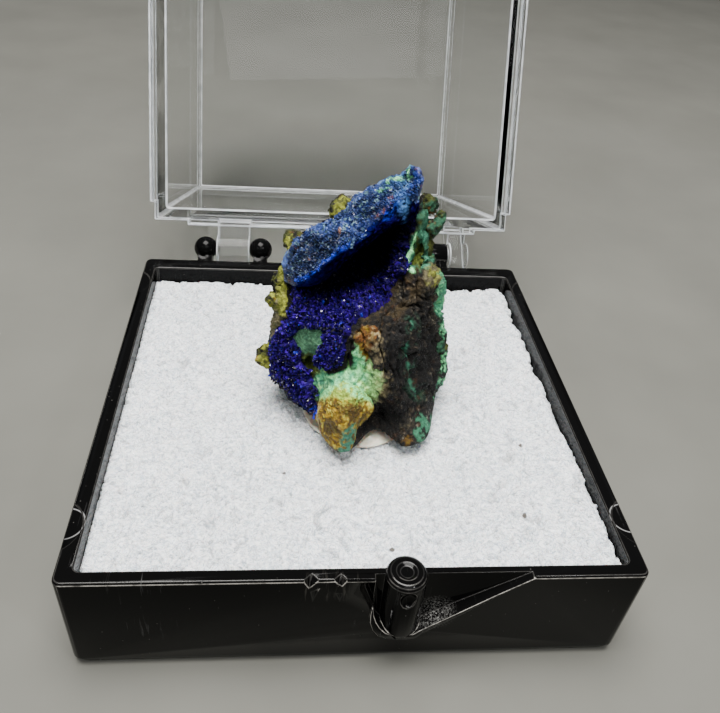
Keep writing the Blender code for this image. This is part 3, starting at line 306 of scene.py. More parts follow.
def soft_noise(points, size, seed):
    """Smooth noise in -1 to 1: the eight corners of a cube of the given size hold random values,
    blended by the smooth step of the place inside the cube."""
    scaled = points / size
    whole = np.floor(scaled).astype(np.int64)
    t = scaled - whole
    t = t * t * (3 - 2 * t)
    total = np.zeros(points.shape[:-1])
    sides = (1 - t, t)
    for i, j, k in np.ndindex(2, 2, 2):
        weight = sides[i][..., 0] * sides[j][..., 1] * sides[k][..., 2]
        total += weight * lattice(whole[..., 0] + i, whole[..., 1] + j, whole[..., 2] + k, seed)
    return total * 2 - 1


def rough_noise(points, size, seed, octaves=4, fall=0.5):
    """Layers of soft noise, each half the size and fall times the height of the one before."""
    layers = (fall**k * soft_noise(points, size / 2**k, seed + 17 * k) for k in range(octaves))
    return sum(layers)


def creased_noise(points, size, seed, octaves):
    """One minus the size of rough noise, so that it peaks along lines."""
    return 1 - np.abs(rough_noise(points, size, seed, octaves)) * 1.6


def cell_noise(points, size, seed):
    """For each point, the distance to the nearest of points scattered one to a cube, in cubes, and
    a random value that belongs to that nearest one."""
    scaled = points / size
    whole = np.floor(scaled).astype(np.int64)
    near = np.full(points.shape[:-1], 9.0)
    tag = np.zeros(points.shape[:-1])
    for step in np.ndindex(3, 3, 3):
        x, y, z = (whole[..., k] + step[k] - 1 for k in range(3))
        spot = np.stack([cell + lattice(x, y, z, seed + k) for k, cell in enumerate((x, y, z))], axis=-1)
        away = np.linalg.norm(scaled - spot, axis=-1)
        tag = np.where(away < near, lattice(x, y, z, seed + 3), tag)
        near = np.minimum(near, away)
    return near, tag


# Colours and shapes, as whole arrays ---------------------------------------------------------------


def smooth_step(value, low, high):
    """0 below low, 1 above high, and a smooth rise between."""
    t = np.clip((value - low) / (high - low), 0, 1)
    return t * t * (3 - 2 * t)


def mix(colour, other, share):
    """Blends two colours, or arrays of them, by an array of shares."""
    share = share[..., None]
    return np.asarray(colour) * (1 - share) + np.asarray(other) * share


def graded(colour, other, value, low, high):
    """The first colour where a value is below low, the other above high, and a blend between."""
    return mix(colour, other, smooth_step(value, low, high))


def glossed(tint, gloss):
    """A tint with how glossy it is as the fourth value."""
    return np.concatenate((tint, (gloss * np.ones(tint.shape[:-1]))[..., None]), axis=-1)


def unit(vectors):
    """Vectors divided by their lengths."""
    return vectors / np.maximum(np.linalg.norm(vectors, axis=-1, keepdims=True), 1e-9)


def on_face(a, b, c):
    """Places on the leaning face: a and b shrink towards the face's centre line as c grows."""
    taper = 1 - c / FACE_REACH
    across = (a * taper)[..., None] * FACE_A + (b * taper)[..., None] * FACE_B
    return FACE_ORIGIN + across + c[..., None] * FACE_C


def sole_depth(b):
    """The c at which a place b on the leaning face meets the level that the rock stands on."""
    rise = b * math.cos(FACE_LEAN)
    return (ROCK_FLOOR - FACE_ORIGIN[2] - rise) / (math.sin(FACE_LEAN) - rise / FACE_REACH)


def stretched_sheet(pegs, slack):
    """A thin plate through pegs: c is a sum of r squared log r about each peg, plus a plane, with
    weights that solve for the pegs' heights."""
    pegs = np.array(pegs, float)
    places, heights = pegs[:, :2], pegs[:, 2]
    count = len(pegs)

    def bend(distance):
        safe = np.maximum(distance, 1e-9)
        return safe**2 * np.log(safe)

    system = np.zeros((count + 3, count + 3))
    gaps = np.linalg.norm(places[:, None] - places[None], axis=2)
    system[:count, :count] = bend(gaps) + slack * np.eye(count)
    system[:count, count:] = np.column_stack((np.ones(count), places))
    system[count:, :count] = system[:count, count:].T
    weights = np.linalg.solve(system, np.concatenate((heights, np.zeros(3))))

    def height(a, b):
        total = weights[count] + weights[count + 1] * a + weights[count + 2] * b
        for (peg_a, peg_b), weight in zip(places, weights):
            total = total + weight * bend(np.hypot(a - peg_a, b - peg_b))
        return total

    return height


def outline_reach(outline, centre, angle):
    """How far an outline lies from its centre in each direction: the crossing of a ray with each
    side, averaged over a small fan of rays so that corners round off."""
    corners = np.array(outline) - np.array(centre)
    total = np.zeros(angle.shape)
    fan = np.linspace(-0.06, 0.06, 5)
    for turn in fan:
        x, y = np.cos(angle + turn), np.sin(angle + turn)
        found = np.zeros(angle.shape)
        for start, end in zip(corners, np.roll(corners, -1, axis=0)):
            edge = end - start
            cross = x * edge[1] - y * edge[0]
            cross = np.where(np.abs(cross) < 1e-9, 1e-9, cross)
            reach = (start[0] * edge[1] - start[1] * edge[0]) / cross
            share = (start[0] * y - start[1] * x) / cross
            hit = (reach > 0) & (share >= -1e-9) & (share <= 1 + 1e-9)
            found = np.where(hit, np.maximum(found, reach), found)
        total += found
    return total / len(fan)


def line_distance(line, a, b):
    """Distance to an open line of points: the least over its stretches of how far a place is from
    the nearest point of the stretch."""
    nearest = np.full(np.shape(a), 1e9)
    for (a0, b0), (a1, b1) in zip(line[:-1], line[1:]):
        edge_a, edge_b = a1 - a0, b1 - b0
        t = np.clip(((a - a0) * edge_a + (b - b0) * edge_b) / (edge_a**2 + edge_b**2), 0, 1)
        nearest = np.minimum(nearest, np.hypot(a - a0 - t * edge_a, b - b0 - t * edge_b))
    return nearest


def depth_inside(outline, a, b):
    """Distance to an outline, in millimetres: positive inside it and negative outside. A place is
    inside if a line from it crosses the outline an odd number of times."""
    loop = [*outline, outline[0]]
    within = np.zeros(np.shape(a), bool)
    for (a0, b0), (a1, b1) in zip(loop[:-1], loop[1:]):
        rise = b1 - b0 if b1 != b0 else 1e-9
        within ^= ((b0 > b) != (b1 > b)) & (a < (a1 - a0) * (b - b0) / rise + a0)
    away = line_distance(loop, a, b)
    return np.where(within, away, -away)


def disc_grid(cells):
    """A square grid pressed into a round one: each place's share of the way out, and its angle."""
    line = np.linspace(-1, 1, cells + 1)
    x, y = np.meshgrid(line, line)
    u = x * np.sqrt(1 - y**2 / 2)
    v = y * np.sqrt(1 - x**2 / 2)
    share = np.clip(np.hypot(u, v), 0, 1)
    return 1 - (1 - share) ** 1.25, np.arctan2(v, u)


def grid_cross(points):
    """The cross product of a grid's two directions: as long as a cell is large, and upright on it."""
    return np.cross(np.gradient(points, axis=1), np.gradient(points, axis=0))


def grid_faces(numbers, flip=False):
    """Two triangles to each cell of a grid of vertex numbers, with the diagonals turned by turns."""
    p, q = numbers[:-1, :-1], numbers[:-1, 1:]
    r, s = numbers[1:, :-1], numbers[1:, 1:]
    i, j = np.indices(p.shape)
    even = ((i + j) % 2 == 0)[..., None]
    first = np.where(even, np.stack((p, q, s), -1), np.stack((p, q, r), -1))
    second = np.where(even, np.stack((p, s, r), -1), np.stack((q, s, r), -1))
    faces = np.concatenate((first.reshape(-1, 3), second.reshape(-1, 3)))
    return faces[:, ::-1] if flip else faces


def relief_grids(outline, centre, front, rim, back, cells, powers):
    """The front and back of a body on the leaning face: each is its sheet in the middle and bends
    to the rim at the outline by the root of one minus a power of the share of the way out."""
    share, angle = disc_grid(cells)
    reach = outline_reach(outline, centre, angle)
    edge_a = centre[0] + reach * np.cos(angle)
    edge_b = centre[1] + reach * np.sin(angle)
    a = centre[0] + share * (edge_a - centre[0])
    b = centre[1] + share * (edge_b - centre[1])
    sides = []
    for face, power in zip((front, back), powers):
        hold = np.sqrt(np.clip(1 - share**power, 0, 1))
        sides.append(on_face(a, b, face(a, b) * hold + rim(edge_a, edge_b) * (1 - hold)))
    return a, b, share, *sides


def outward(points, share, side=1):
    """Directions to move a relief's points: its normals, turned at the rim to point away from the
    middle so that front and back agree."""
    normals = side * unit(grid_cross(points))
    return unit(mix(normals, unit(points - FACE_ORIGIN), smooth_step(share, 0.80, 1.0)))


def closed_pair(front, back, front_values, back_values):
    """Joins two grids that share their border into one closed mesh with a value for each vertex."""
    numbers = np.arange(front.shape[0] * front.shape[1]).reshape(front.shape[:2])
    inner = np.zeros(numbers.shape, bool)
    inner[1:-1, 1:-1] = True
    back_numbers = numbers.copy()
    back_numbers[inner] = numbers.size + np.arange(inner.sum())
    points = np.concatenate((front.reshape(-1, 3), back[inner]))
    values = np.concatenate((front_values.reshape(-1, front_values.shape[-1]), back_values[inner]))
    return points, np.concatenate((grid_faces(numbers), grid_faces(back_numbers, flip=True))), values


def wall_faces(starts, ends, low_starts, low_ends):
    """Two triangles under each edge of an upper border, down to the lower border's vertices."""
    return np.concatenate(
        (np.column_stack((starts, low_starts, low_ends)), np.column_stack((starts, low_ends, ends)))
    )


def closed_sheet(top, bottom, faces):
    """A sheet with thickness: its top, its underside turned over, and a wall along each directed
    edge that no other triangle runs along the other way. Also gives the vertices it kept."""
    used, faces = np.unique(faces, return_inverse=True)
    faces = faces.reshape(-1, 3)
    count = len(used)
    starts, ends = faces.ravel(), np.roll(faces, -1, axis=1).ravel()
    edge = ~np.isin(starts * count + ends, ends * count + starts)
    starts, ends = starts[edge], ends[edge]
    wall = wall_faces(ends, starts, ends + count, starts + count)[:, ::-1]
    points = np.concatenate((top[used], bottom[used]))
    return points, np.concatenate((faces, faces[:, ::-1] + count, wall)), used


# Meshes and materials ------------------------------------------------------------------------------


def linked(name, data):
    """A new object that holds the data, linked to the scene."""
    made = bpy.data.objects.new(name, data)
    bpy.context.scene.collection.objects.link(made)
    return made


def new_piece(name, points, faces, finish, tint, smooth=True):
    """Points in millimetres and an array of faces become one object that rides on the box."""
    faces = np.ascontiguousarray(faces, dtype=np.int32)
    mesh = bpy.data.meshes.new(name)
    mesh.vertices.add(len(points))
    mesh.vertices.foreach_set("co", (points * MM).astype(np.float32).ravel())
    mesh.loops.add(faces.size)
    mesh.loops.foreach_set("vertex_index", faces.ravel())
    mesh.polygons.add(len(faces))
    mesh.polygons.foreach_set("loop_start", np.arange(0, faces.size, faces.shape[1], dtype=np.int32))
    mesh.polygons.foreach_set("use_smooth", np.full(len(faces), smooth))
    mesh.update(calc_edges=True)
    colours = mesh.color_attributes.new("tint", "FLOAT_COLOR", "POINT")
    full = glossed(tint, 1.0) if tint.shape[1] == 3 else tint
    colours.data.foreach_set("color", full.astype(np.float32).ravel())
    mesh.materials.append(finish)
    piece = linked(name, mesh)
    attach(piece, "box")
    return piece


def grey(value):
    """A grey with full alpha."""
    return value, value, value, 1.0


class Graph:
    """A material's nodes, added and joined in one call each."""

    def __init__(self, name):
        self.material = bpy.data.materials.new(name)
        self.material.use_nodes = True
        self.nodes = self.material.node_tree.nodes
        self.links = self.material.node_tree.links

    def set(self, node, socket, value):
        """Gives a socket, by name or number, a value or another node's output."""
        target = node.inputs[socket]
        if isinstance(value, bpy.types.NodeSocket):
            self.links.new(value, target)
        else:
            target.default_value = value

    def add(self, kind, settings=None, **inputs):
        """A new node with its settings, and with its sockets set by name."""
        node = self.nodes.new(kind)
        for key, value in (settings or {}).items():
            setattr(node, key, value)
        for key, value in inputs.items():
            self.set(node, key.replace("_", " "), value)
        return node

    def finish(self, **sockets):
        """Sets the shader's sockets and gives the material."""
        for key, value in sockets.items():
            self.set(self.nodes["Principled BSDF"], key.replace("_", " "), value)
        return self.material

    def place(self):
        return self.add("ShaderNodeTexCoord").outputs["Object"]

    def tint(self, output="Color"):
        """The colour that each piece's vertices hold, or its alpha."""
        return self.add("ShaderNodeAttribute", {"attribute_name": "tint"}).outputs[output]

    def noise(self, scale, detail=4.0, roughness=0.55, distortion=0.0, vector=None):
        node = self.add("ShaderNodeTexNoise", Vector=vector or self.place(), Scale=scale, Detail=detail,
                        Roughness=roughness, Distortion=distortion)
        return node.outputs["Fac"]

    def speckle(self, scale, low, high):
        """Small round specks: 1 inside a cell's middle, 0 outside."""
        node = self.add("ShaderNodeTexVoronoi", Vector=self.place(), Scale=scale)
        return self.range(node.outputs["Distance"], low, high, 1.0, 0.0)

    def ramp(self, value, stops):
        """A colour between two stops, by a value."""
        node = self.add("ShaderNodeValToRGB", Fac=value)
        for element, (position, colour) in zip(node.color_ramp.elements, stops):
            element.position = position
            element.color = (*colour, 1.0)
        return node.outputs["Color"]

    def range(self, value, low, high, out_low=0.0, out_high=1.0):
        """The value carried in a straight line from one range to another, and held at its ends."""
        node = self.add("ShaderNodeMapRange", Value=value, From_Min=low, From_Max=high, To_Min=out_low,
                        To_Max=out_high)
        return node.outputs["Result"]

    def blend(self, share, first, second, mode="MIX"):
        """The second colour laid over the first by a share."""
        node = self.add("ShaderNodeMix", {"data_type": "RGBA", "blend_type": mode})
        for socket, value in ((0, share), (6, first), (7, second)):
            self.set(node, socket, value)
        return node.outputs[2]

    def math(self, operation, first, second=0.0):
        node = self.add("ShaderNodeMath", {"operation": operation})
        self.set(node, 0, first)
        self.set(node, 1, second)
        return node.outputs[0]

    def times(self, first, second):
        return self.math("MULTIPLY", first, second)

    def less(self, value, mask):
        """The value, but 0 where the mask is 1."""
        return self.times(value, self.math("SUBTRACT", 1.0, mask))

    def near(self, point, low, high):
        """1 near a place given in millimetres and 0 further away than the larger distance."""
        away = self.add("ShaderNodeVectorMath", {"operation": "DISTANCE"})
        self.set(away, 0, self.place())
        self.set(away, 1, tuple(v * MM for v in point))
        return self.range(away.outputs["Value"], low * MM, high * MM, 1.0, 0.0)

    def hairs(self, turns, low, high):
        """Fine straight scratches: noise stretched thin along each turned direction."""
        found = None
        for turn, stretch in turns:
            mapped = self.add("ShaderNodeMapping", Vector=self.place(), Rotation=(0.3, 0.2, turn),
                              Scale=(2600 * stretch, 90, 260)).outputs["Vector"]
            lines = self.range(self.noise(1.0, 2.0, 0.6, 0.4, mapped), low, high)
            found = self.math("MAXIMUM", found, lines) if found else lines
        return found

    def bump(self, height, distance, strength=1.0, normal=None):
        """A normal tilted by the slope of a height, on top of another normal if there is one."""
        node = self.add("ShaderNodeBump", Height=height, Distance=distance, Strength=strength)
        if normal:
            self.set(node, "Normal", normal)
        return node.outputs["Normal"]


# Specimen ------------------------------------------------------------------------------------------


def mineral_share(outline, a, b, points, soft=0.18):
    """1 inside a mineral's outline, 0 outside, with its edge bent by noise."""
    bent_a = a + 0.34 * rough_noise(points, 1.2, 41, 5, 0.62)
    bent_b = b + 0.34 * rough_noise(points, 1.2, 42, 5, 0.62)
    return smooth_step(depth_inside(outline, bent_a, bent_b), -soft, soft)


def brown_rock(points):
    """Goethite: near-black brown, with grey-brown and khaki lumps, painted shade in the sunk cells of its
    grain and pale flecks.
    """
    coarse = rough_noise(points, 2.1, 61, 4)
    fine = rough_noise(points, 0.55, 62, 3)
    threads = rough_noise(points * (2.2, 2.2, 1.0), 0.42, 65, 4, 0.7)
    near, tag = cell_noise(points, 0.55, 63)
    pit_shade, _ = cell_noise(points, 0.5, 8)
    _, fleck = cell_noise(points, 0.22, 66)
    tint = graded(GOETHITE, GOETHITE_GREY, threads + 0.45 * fine + 0.35 * coarse, 0.25, 1.0)
    tint = mix(tint, KHAKI_GREY, smooth_step(coarse + 0.3 * threads, 0.40, 1.0) * 0.3)
    tint = mix(tint, RUST_RED, smooth_step(rough_noise(points, 0.9, 64, 4), 0.35, 0.9) * 0.2)
    tint = tint * (0.45 + 0.75 * tag * smooth_step(0.6 - near, 0.0, 0.4))[..., None]
    # Painted shade: darker in the sunk cells of the grain, the same cells that rock_lumps sinks.
    tint = tint * (1 - 0.85 * smooth_step(pit_shade, 0.32, 0.62))[..., None]
    return mix(tint, PALE_FLECK, smooth_step(fleck, 0.96, 0.97) * smooth_step(coarse, -0.1, 0.6) * 0.6)


def rock_tint(a, b, points):
    """The rock's colours: brown rock under each mineral's patch, in the order that they overlap."""
    grain = rough_noise(points, 0.45, 71, 3)
    broad = rough_noise(points, 1.5, 72, 3)
    near, tag = cell_noise(points, 0.42, 73)
    warm = smooth_step(2.2 - line_distance(WARM, a, b), 0.0, 1.5) * smooth_step(grain + broad, -0.6, 0.6)
    tint = mix(brown_rock(points), WARM_BROWN, warm * 0.45)

    def patch(outline, colour, strength=1.0, soft=0.18):
        nonlocal tint
        tint = mix(tint, colour, mineral_share(outline, a, b, points, soft) * strength)

    crust = graded(KHAKI_GREY, OLIVE, grain + broad, -0.4, 0.7)
    patch(LEFT_CRUST, mix(crust, LIME, smooth_step(broad, 0.1, 0.7) * 0.5))
    patch(KHAKI, graded(KHAKI_GREY, LIME, grain, -0.2, 0.9), 0.8)

    bright = graded(TEAL, MALACHITE, grain + 0.4 * broad, -0.4, 0.6)
    broken = np.clip(smooth_step(b, -1.5, 1.5) + smooth_step(grain + 0.6 * broad, -0.05, 0.35), 0, 1)
    patch(EDGE_GREEN, mix(bright, MALACHITE_PALE, smooth_step(grain, 0.2, 0.8) * 0.7), broken)
    column = graded(MALACHITE_DARK, TEAL, grain, -0.4, 0.5)
    patch(COLUMN, graded(column, OLIVE, broad, 0.1, 0.8))
    green = graded(MALACHITE_DARK, MALACHITE, grain + 0.4 * broad, -0.5, 0.5)
    patch(FOOT_GREEN, (green + TEAL) * 0.28, 0.8 * smooth_step(grain + 0.5 * broad, -0.1, 0.35))
    orange = graded(RUST_RED, OCHRE_GOLD, grain, -0.2, 1.0)
    patch(FOOT_ORANGE, orange * 0.5, 0.5 * smooth_step(grain, 0.0, 0.4))

    pale = graded(MALACHITE, MALACHITE_PALE, grain + 0.3 * broad, -0.7, 0.3)
    lime = np.maximum(smooth_step(broad + 0.4 * grain, 0.15, 0.7) * 0.8, smooth_step(a, 1.7, 3.2) * 0.6)
    pale = mix(pale, LIME_PALE, lime)
    # Painted shade: the mint is darker along the creases between its small cells.
    pale = mix(pale, MALACHITE_DARK, smooth_step(near, 0.55, 0.85) * 0.9)
    patch(MINT, pale)
    patch(PIT_GREEN, graded(pale, TEAL, tag, 0.3, 0.9))
    patch(WINDOW, graded(WINDOW_GREEN, WINDOW_DEEP, grain + 0.3 * broad, -0.3, 0.8))

    rusty = graded(RUST_RED, OCHRE_DARK, grain + 0.5 * broad, -0.4, 0.6)
    rusty = mix(rusty, OCHRE_GOLD, smooth_step(grain - 0.4 * broad, 0.1, 0.7) * 0.7)
    rusty = graded(rusty, GOETHITE, tag, 0.74, 0.8)
    rusty = mix(rusty, CREAM_WHITE, smooth_step(rough_noise(points, 0.5, 75, 2), 0.55, 0.7) * 0.35)
    patch(RUST, rusty * 0.55)
    cream = graded(CREAM_WHITE, OCHRE_GOLD, grain, -0.3, 0.7)
    patch(CREAM, cream * 0.8, 0.8 * smooth_step(grain + broad, -0.4, 0.2))
    dusty = graded(GOETHITE_GREY, CREAM_WHITE, grain + 0.3 * tag, -0.1, 0.9)
    patch(DUSTED, dusty, 0.45 * smooth_step(grain + broad, -0.3, 0.5), soft=0.5)
    patch(PIT_LEFT, graded(VUG_LEFT, OLIVE, grain, -0.5, 0.6))
    patch(PIT_RIGHT, graded(VUG_RIGHT, OLIVE, grain, -0.4, 0.5))
    patch(OCHRE, graded(OCHRE_DARK, OCHRE_GOLD, grain, -0.5, 0.5))

    wavy = a + 0.16 * rough_noise(points, 0.9, 74, 3)
    from_vein = line_distance(VEIN, wavy, b)
    vein = smooth_step(0.08 - from_vein, -0.08, 0.05) * smooth_step(grain, -0.8, 0.0)
    tint = mix(tint, TEAL, vein * 0.75)
    haze = smooth_step(0.7 - from_vein, -0.5, 0.5) * smooth_step(grain + broad, 0.1, 0.9)
    tint = mix(tint, MALACHITE_DARK, haze * 0.45)
    tint = graded(tint, MALACHITE_PALE, 0.16 - line_distance(COLUMN_RIM, wavy, b), -0.12, 0.1)
    return mix(tint, LIME, mineral_share(YELLOW, a, b, points, 0.12))


def back_tint(points):
    """The back: brown rock with broad green films and a little ochre."""
    film = rough_noise(points, 3.4, 81, 4)
    grain = rough_noise(points, 0.5, 82, 3)
    tint = mix(brown_rock(points), MALACHITE_DARK, smooth_step(film, 0.0, 0.5) * 0.8)
    tint = graded(tint, MALACHITE, film + 0.4 * grain, 0.35, 0.8)
    return mix(tint, OCHRE_DARK, smooth_step(rough_noise(points, 2.6, 83, 3), 0.3, 0.8) * 0.7)


def pitted_front():
    """The rock's front: a thin plate less a bell-shaped pit for each vug."""
    plate = stretched_sheet(ROCK_FRONT, 0.4)

    def depth(a, b):
        c = plate(a, b)
        for pit_a, pit_b, wide, high, deep in PITS:
            c = c - deep * np.exp(-(((a - pit_a) / wide) ** 2) - ((b - pit_b) / high) ** 2)
        return c

    return depth


def rock_back(a, b):
    """The upright back and the flat sole, rounded into each other by the log of summed powers."""
    upright = BACK_DEPTH + 0.69 * b + 0.035 * (a - 1) ** 2
    return 1.2 * np.logaddexp(upright / 1.2, sole_depth(b) / 1.2)


def rock_lumps(points):
    """How far the rock stands out: broad lumps, rounded knobs about scattered points, fine grain,
    and creases where ridged noise peaks."""
    lumps = rough_noise(points, 3.4, 1, 4) * 0.42
    near, _ = cell_noise(points, 1.25, 5)
    small, _ = cell_noise(points, 0.5, 8)
    fine = (0.5 - small) * 0.26 + rough_noise(points * (1.5, 1.5, 1.0), 0.42, 12, 3) * 0.16
    creases = smooth_step(creased_noise(points * (1.5, 1.0, 0.55), 2.6, 14, 3), 0.82, 1.0) * 0.75
    return lumps + (0.55 - near) * 0.60 + fine - creases


def rock_piece(finish):
    """The rock: front and back moved out by its lumps, which are held down by the druse and the
    window and turned to small balls under the mint. Gives what the druse needs to lie on it."""
    sheet = pitted_front()
    rim_sheet = stretched_sheet(ROCK_RIM, 0.2)

    def front(a, b):
        return np.maximum(sheet(a, b), rock_back(a, b) + ROCK_LEAST)

    def rim(a, b):
        return np.maximum(rim_sheet(a, b), rock_back(a, b) + ROCK_LEAST / 2)

    a, b, share, face, back = relief_grids(
        ROCK_OUTLINE, ROCK_CENTRE, front, rim, rock_back, ROCK_CELLS, (FLAT, ROUND)
    )
    ways = outward(face, share)
    druse = mineral_share(DRUSE, a, b, face, 0.35)
    calm = np.clip(druse + mineral_share(WINDOW, a, b, face, 0.3), 0, 1)
    minty = mineral_share(MINT, a, b, face, 0.3) + mineral_share(PIT_GREEN, a, b, face, 0.3)
    minty = np.clip(minty, 0, 1)
    balls, _ = cell_noise(face, 0.62, 21)
    lift = rock_lumps(face) * (1 - 0.85 * calm) * (1 - 0.75 * minty) + minty * (0.6 - balls) * 0.45
    lift = lift - smooth_step(0.35 - line_distance(VEIN, a, b), -0.1, 0.3) * 0.30
    lift = lift * smooth_step(face[..., 2], ROCK_FLOOR + 0.4, ROCK_FLOOR + 4.0)
    moved = face + ways * lift[..., None]
    back_lift = rock_lumps(back) * smooth_step(back[..., 2], ROCK_FLOOR + 0.3, ROCK_FLOOR + 3.0)
    back = back + outward(back, share, -1) * back_lift[..., None]

    # Painted shade: the rock is near-black under the druse, so that the gaps between the lining and its
    # crystals look dark.
    tint = graded(rock_tint(a, b, moved), AZURITE_DARK_AND_SHADE, druse, 0.5, 1.0)
    behind = graded(back_tint(back), rock_tint(a, b, back), share, 0.86, 0.99)
    points, faces, values = closed_pair(moved, back, tint, behind)
    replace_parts(new_piece("goethite_body", points, faces, finish, values), "specimen_rock")
    return a, b, share, face, ways, druse


def druse_piece(a, b, share, face, ways, druse, finish):
    """The blue lining: the rock's own front lifted along its normals inside the druse's outline, with facets
    about scattered points, and sunk outside it. Its colour carries painted shade: near-black and without
    gloss in the hollow, and darker between the facets. Gives its top and how much of it lies in the hollow's
    painted shade."""
    near, tag = cell_noise(face, 0.55, 31)
    facets = (0.55 - near) * 0.5 + tag * 0.22 + rough_noise(face, 2.2, 33, 3) * 0.16
    rim = smooth_step(share, 0.82, 1.0)
    lift = (DRUSE_RISE + facets) * druse * (1 - 0.8 * rim) - 0.22 * rim - 0.9 * (1 - druse)
    top = face + ways * lift[..., None]
    bottom = top - ways * DRUSE_THICK
    faces = grid_faces(np.arange(a.size).reshape(a.shape))
    faces = faces[(druse.ravel()[faces] > 0.02).any(axis=1)]
    points, faces, used = closed_sheet(top.reshape(-1, 3), bottom.reshape(-1, 3), faces)
    # Painted shade: near-black in the hollow, and darker where the same cells as the facets sink the lining.
    deep = smooth_step(depth_inside(HOLLOW_SHADE, a, b), -1.5, 0.4)
    dark = np.clip(deep + smooth_step(near, 0.35, 0.75) * 0.9, 0, 1)
    tint = mix(mix(AZURITE, AZURITE_VIOLET, tag), AZURITE_DARK_AND_SHADE, dark)
    values = np.tile(glossed(tint, 0.3 * (1 - deep)).reshape(-1, 4)[used], (2, 1))
    piece = new_piece("azurite_lining", points, faces, finish, values, smooth=False)
    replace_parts(piece, "azurite_crust")
    return top, deep


BLADE = np.array(
    [(-0.45, 0, -0.6), (0, -0.25, -0.6), (0.45, 0, -0.6), (0, 0.25, -0.6),
     (-0.5, 0, 0.6), (0, -0.28, 0.6), (0.5, 0, 0.6), (0, 0.28, 0.6), (-0.26, 0, 1.0), (0.26, 0, 1.0)]
)  # x and y in widths, z in lengths
BLADE_FACES = np.array(
    [(3, 2, 1), (3, 1, 0), (0, 1, 5), (0, 5, 4), (1, 2, 6), (1, 6, 5), (2, 3, 7), (2, 7, 6),
     (3, 0, 4), (3, 4, 7), (4, 5, 8), (5, 9, 8), (5, 6, 9), (6, 7, 9), (7, 8, 9), (7, 4, 8)]
)


def blades(name, places, ways, lengths, widths, lean, tints, gloss, finish, seed):
    """Crystals, each a lozenge bar with a chisel tip: the pattern's corners are scaled, turned so
    that z follows a leaning normal, and set down, all in one product of arrays."""
    rng = np.random.default_rng(seed)
    count = len(places)
    up = unit(ways + rng.normal(0, lean, (count, 3)))
    side = unit(np.cross(up, rng.normal(0, 1, (count, 3))))
    turns = np.stack((side, np.cross(up, side), up), axis=1)
    local = BLADE[None] * np.column_stack((widths, widths, lengths))[:, None]
    points = np.einsum("nvk,nkj->nvj", local, turns) + places[:, None]
    faces = BLADE_FACES[None] + (np.arange(count) * len(BLADE))[:, None, None]
    shade = rng.uniform(0.6, 1.35, (count, 1, 1))
    # Each crystal's tip is drawn a quarter lighter than its body, a painted highlight.
    colours = tints[:, None] * shade * np.where(BLADE[:, 2] > 0.9, 1.25, 1.0)[None, :, None]
    colours = glossed(np.clip(colours, 0, 1), gloss[:, None]).reshape(-1, 4)
    points, faces = points.reshape(-1, 3), faces.reshape(-1, 3)
    new_piece(name, points, faces, finish, colours, smooth=False)


def picked(points, weight, count, seed):
    """Seeded choice of places on a grid, by weight and by the area about each."""
    rng = np.random.default_rng(seed)
    chance = (weight * np.linalg.norm(grid_cross(points), axis=-1)).ravel()
    return rng.choice(chance.size, count, replace=False, p=chance / chance.sum())


def druse_crystals(a, b, share, top, ways, druse, deep, finish):
    """The druse's separate crystals: deep blue to violet, some cobalt low on the left, and a few in seven
    glassy; where the hollow is deep they are painted near-black and dull as shade."""
    weight = smooth_step(druse, 0.45, 0.85) * (1 - 0.7 * smooth_step(share, 0.965, 1.0))
    chosen = picked(top, weight, DRUSE_CRYSTALS, 7)
    rng = np.random.default_rng(8)
    size = rng.uniform(0.0, 1.0, len(chosen)) ** 2.2
    tag = rng.uniform(0, 1, len(chosen))
    tints = graded(AZURITE_DARK_AND_SHADE, AZURITE, tag, 0.1, 0.45)
    tints = graded(tints, AZURITE_VIOLET, tag, 0.5, 1.0)
    low = smooth_step(-b.ravel()[chosen] - 9.6, 0.0, 1.0) * smooth_step(a.ravel()[chosen] + 4.6, 0.0, 0.8)
    bright = np.clip(smooth_step(tag, 0.955, 1.0) + low * smooth_step(tag, 0.3, 0.9), 0, 1)
    tints = mix(tints, COBALT, bright * 0.6)
    # Painted shade: crystals in the hollow are drawn near-black and lose their gloss.
    sunk = deep.ravel()[chosen]
    tints = mix(tints, AZURITE_DARK_AND_SHADE, sunk * 0.98)
    gloss = (0.10 + 0.90 * (rng.uniform(0, 1, len(chosen)) > 0.86)) * (1 - 0.8 * sunk)
    blades("azurite_crystals", top.reshape(-1, 3)[chosen], ways.reshape(-1, 3)[chosen],
           0.13 + 0.28 * size, 0.13 + 0.26 * size, 0.42, tints, gloss, finish, 9)


def slab_folds(points):
    """Long folds across the slab: noise in turned axes, drawn out along one of them."""
    x, y, z = np.moveaxis(points, -1, 0)
    along, across = (x + z) * 0.71, (z - x) * 0.71
    return rough_noise(np.stack((along * 0.35, y, across), axis=-1), 1.5, 98, 3)


def slab_relief(points):
    """How far the slab stands out: large and small facets about scattered points, folds, lumps."""
    near, tag = cell_noise(points * (0.7, 1.0, 1.2), 0.90, 91)
    small, small_tag = cell_noise(points, 0.22, 95)
    facets = (0.5 - near) * 0.36 + tag * 0.26 + (0.5 - small) * 0.12 + small_tag * 0.08 - 0.25
    return facets + slab_folds(points) * 0.75 + rough_noise(points, 1.9, 99, 5) * 0.30


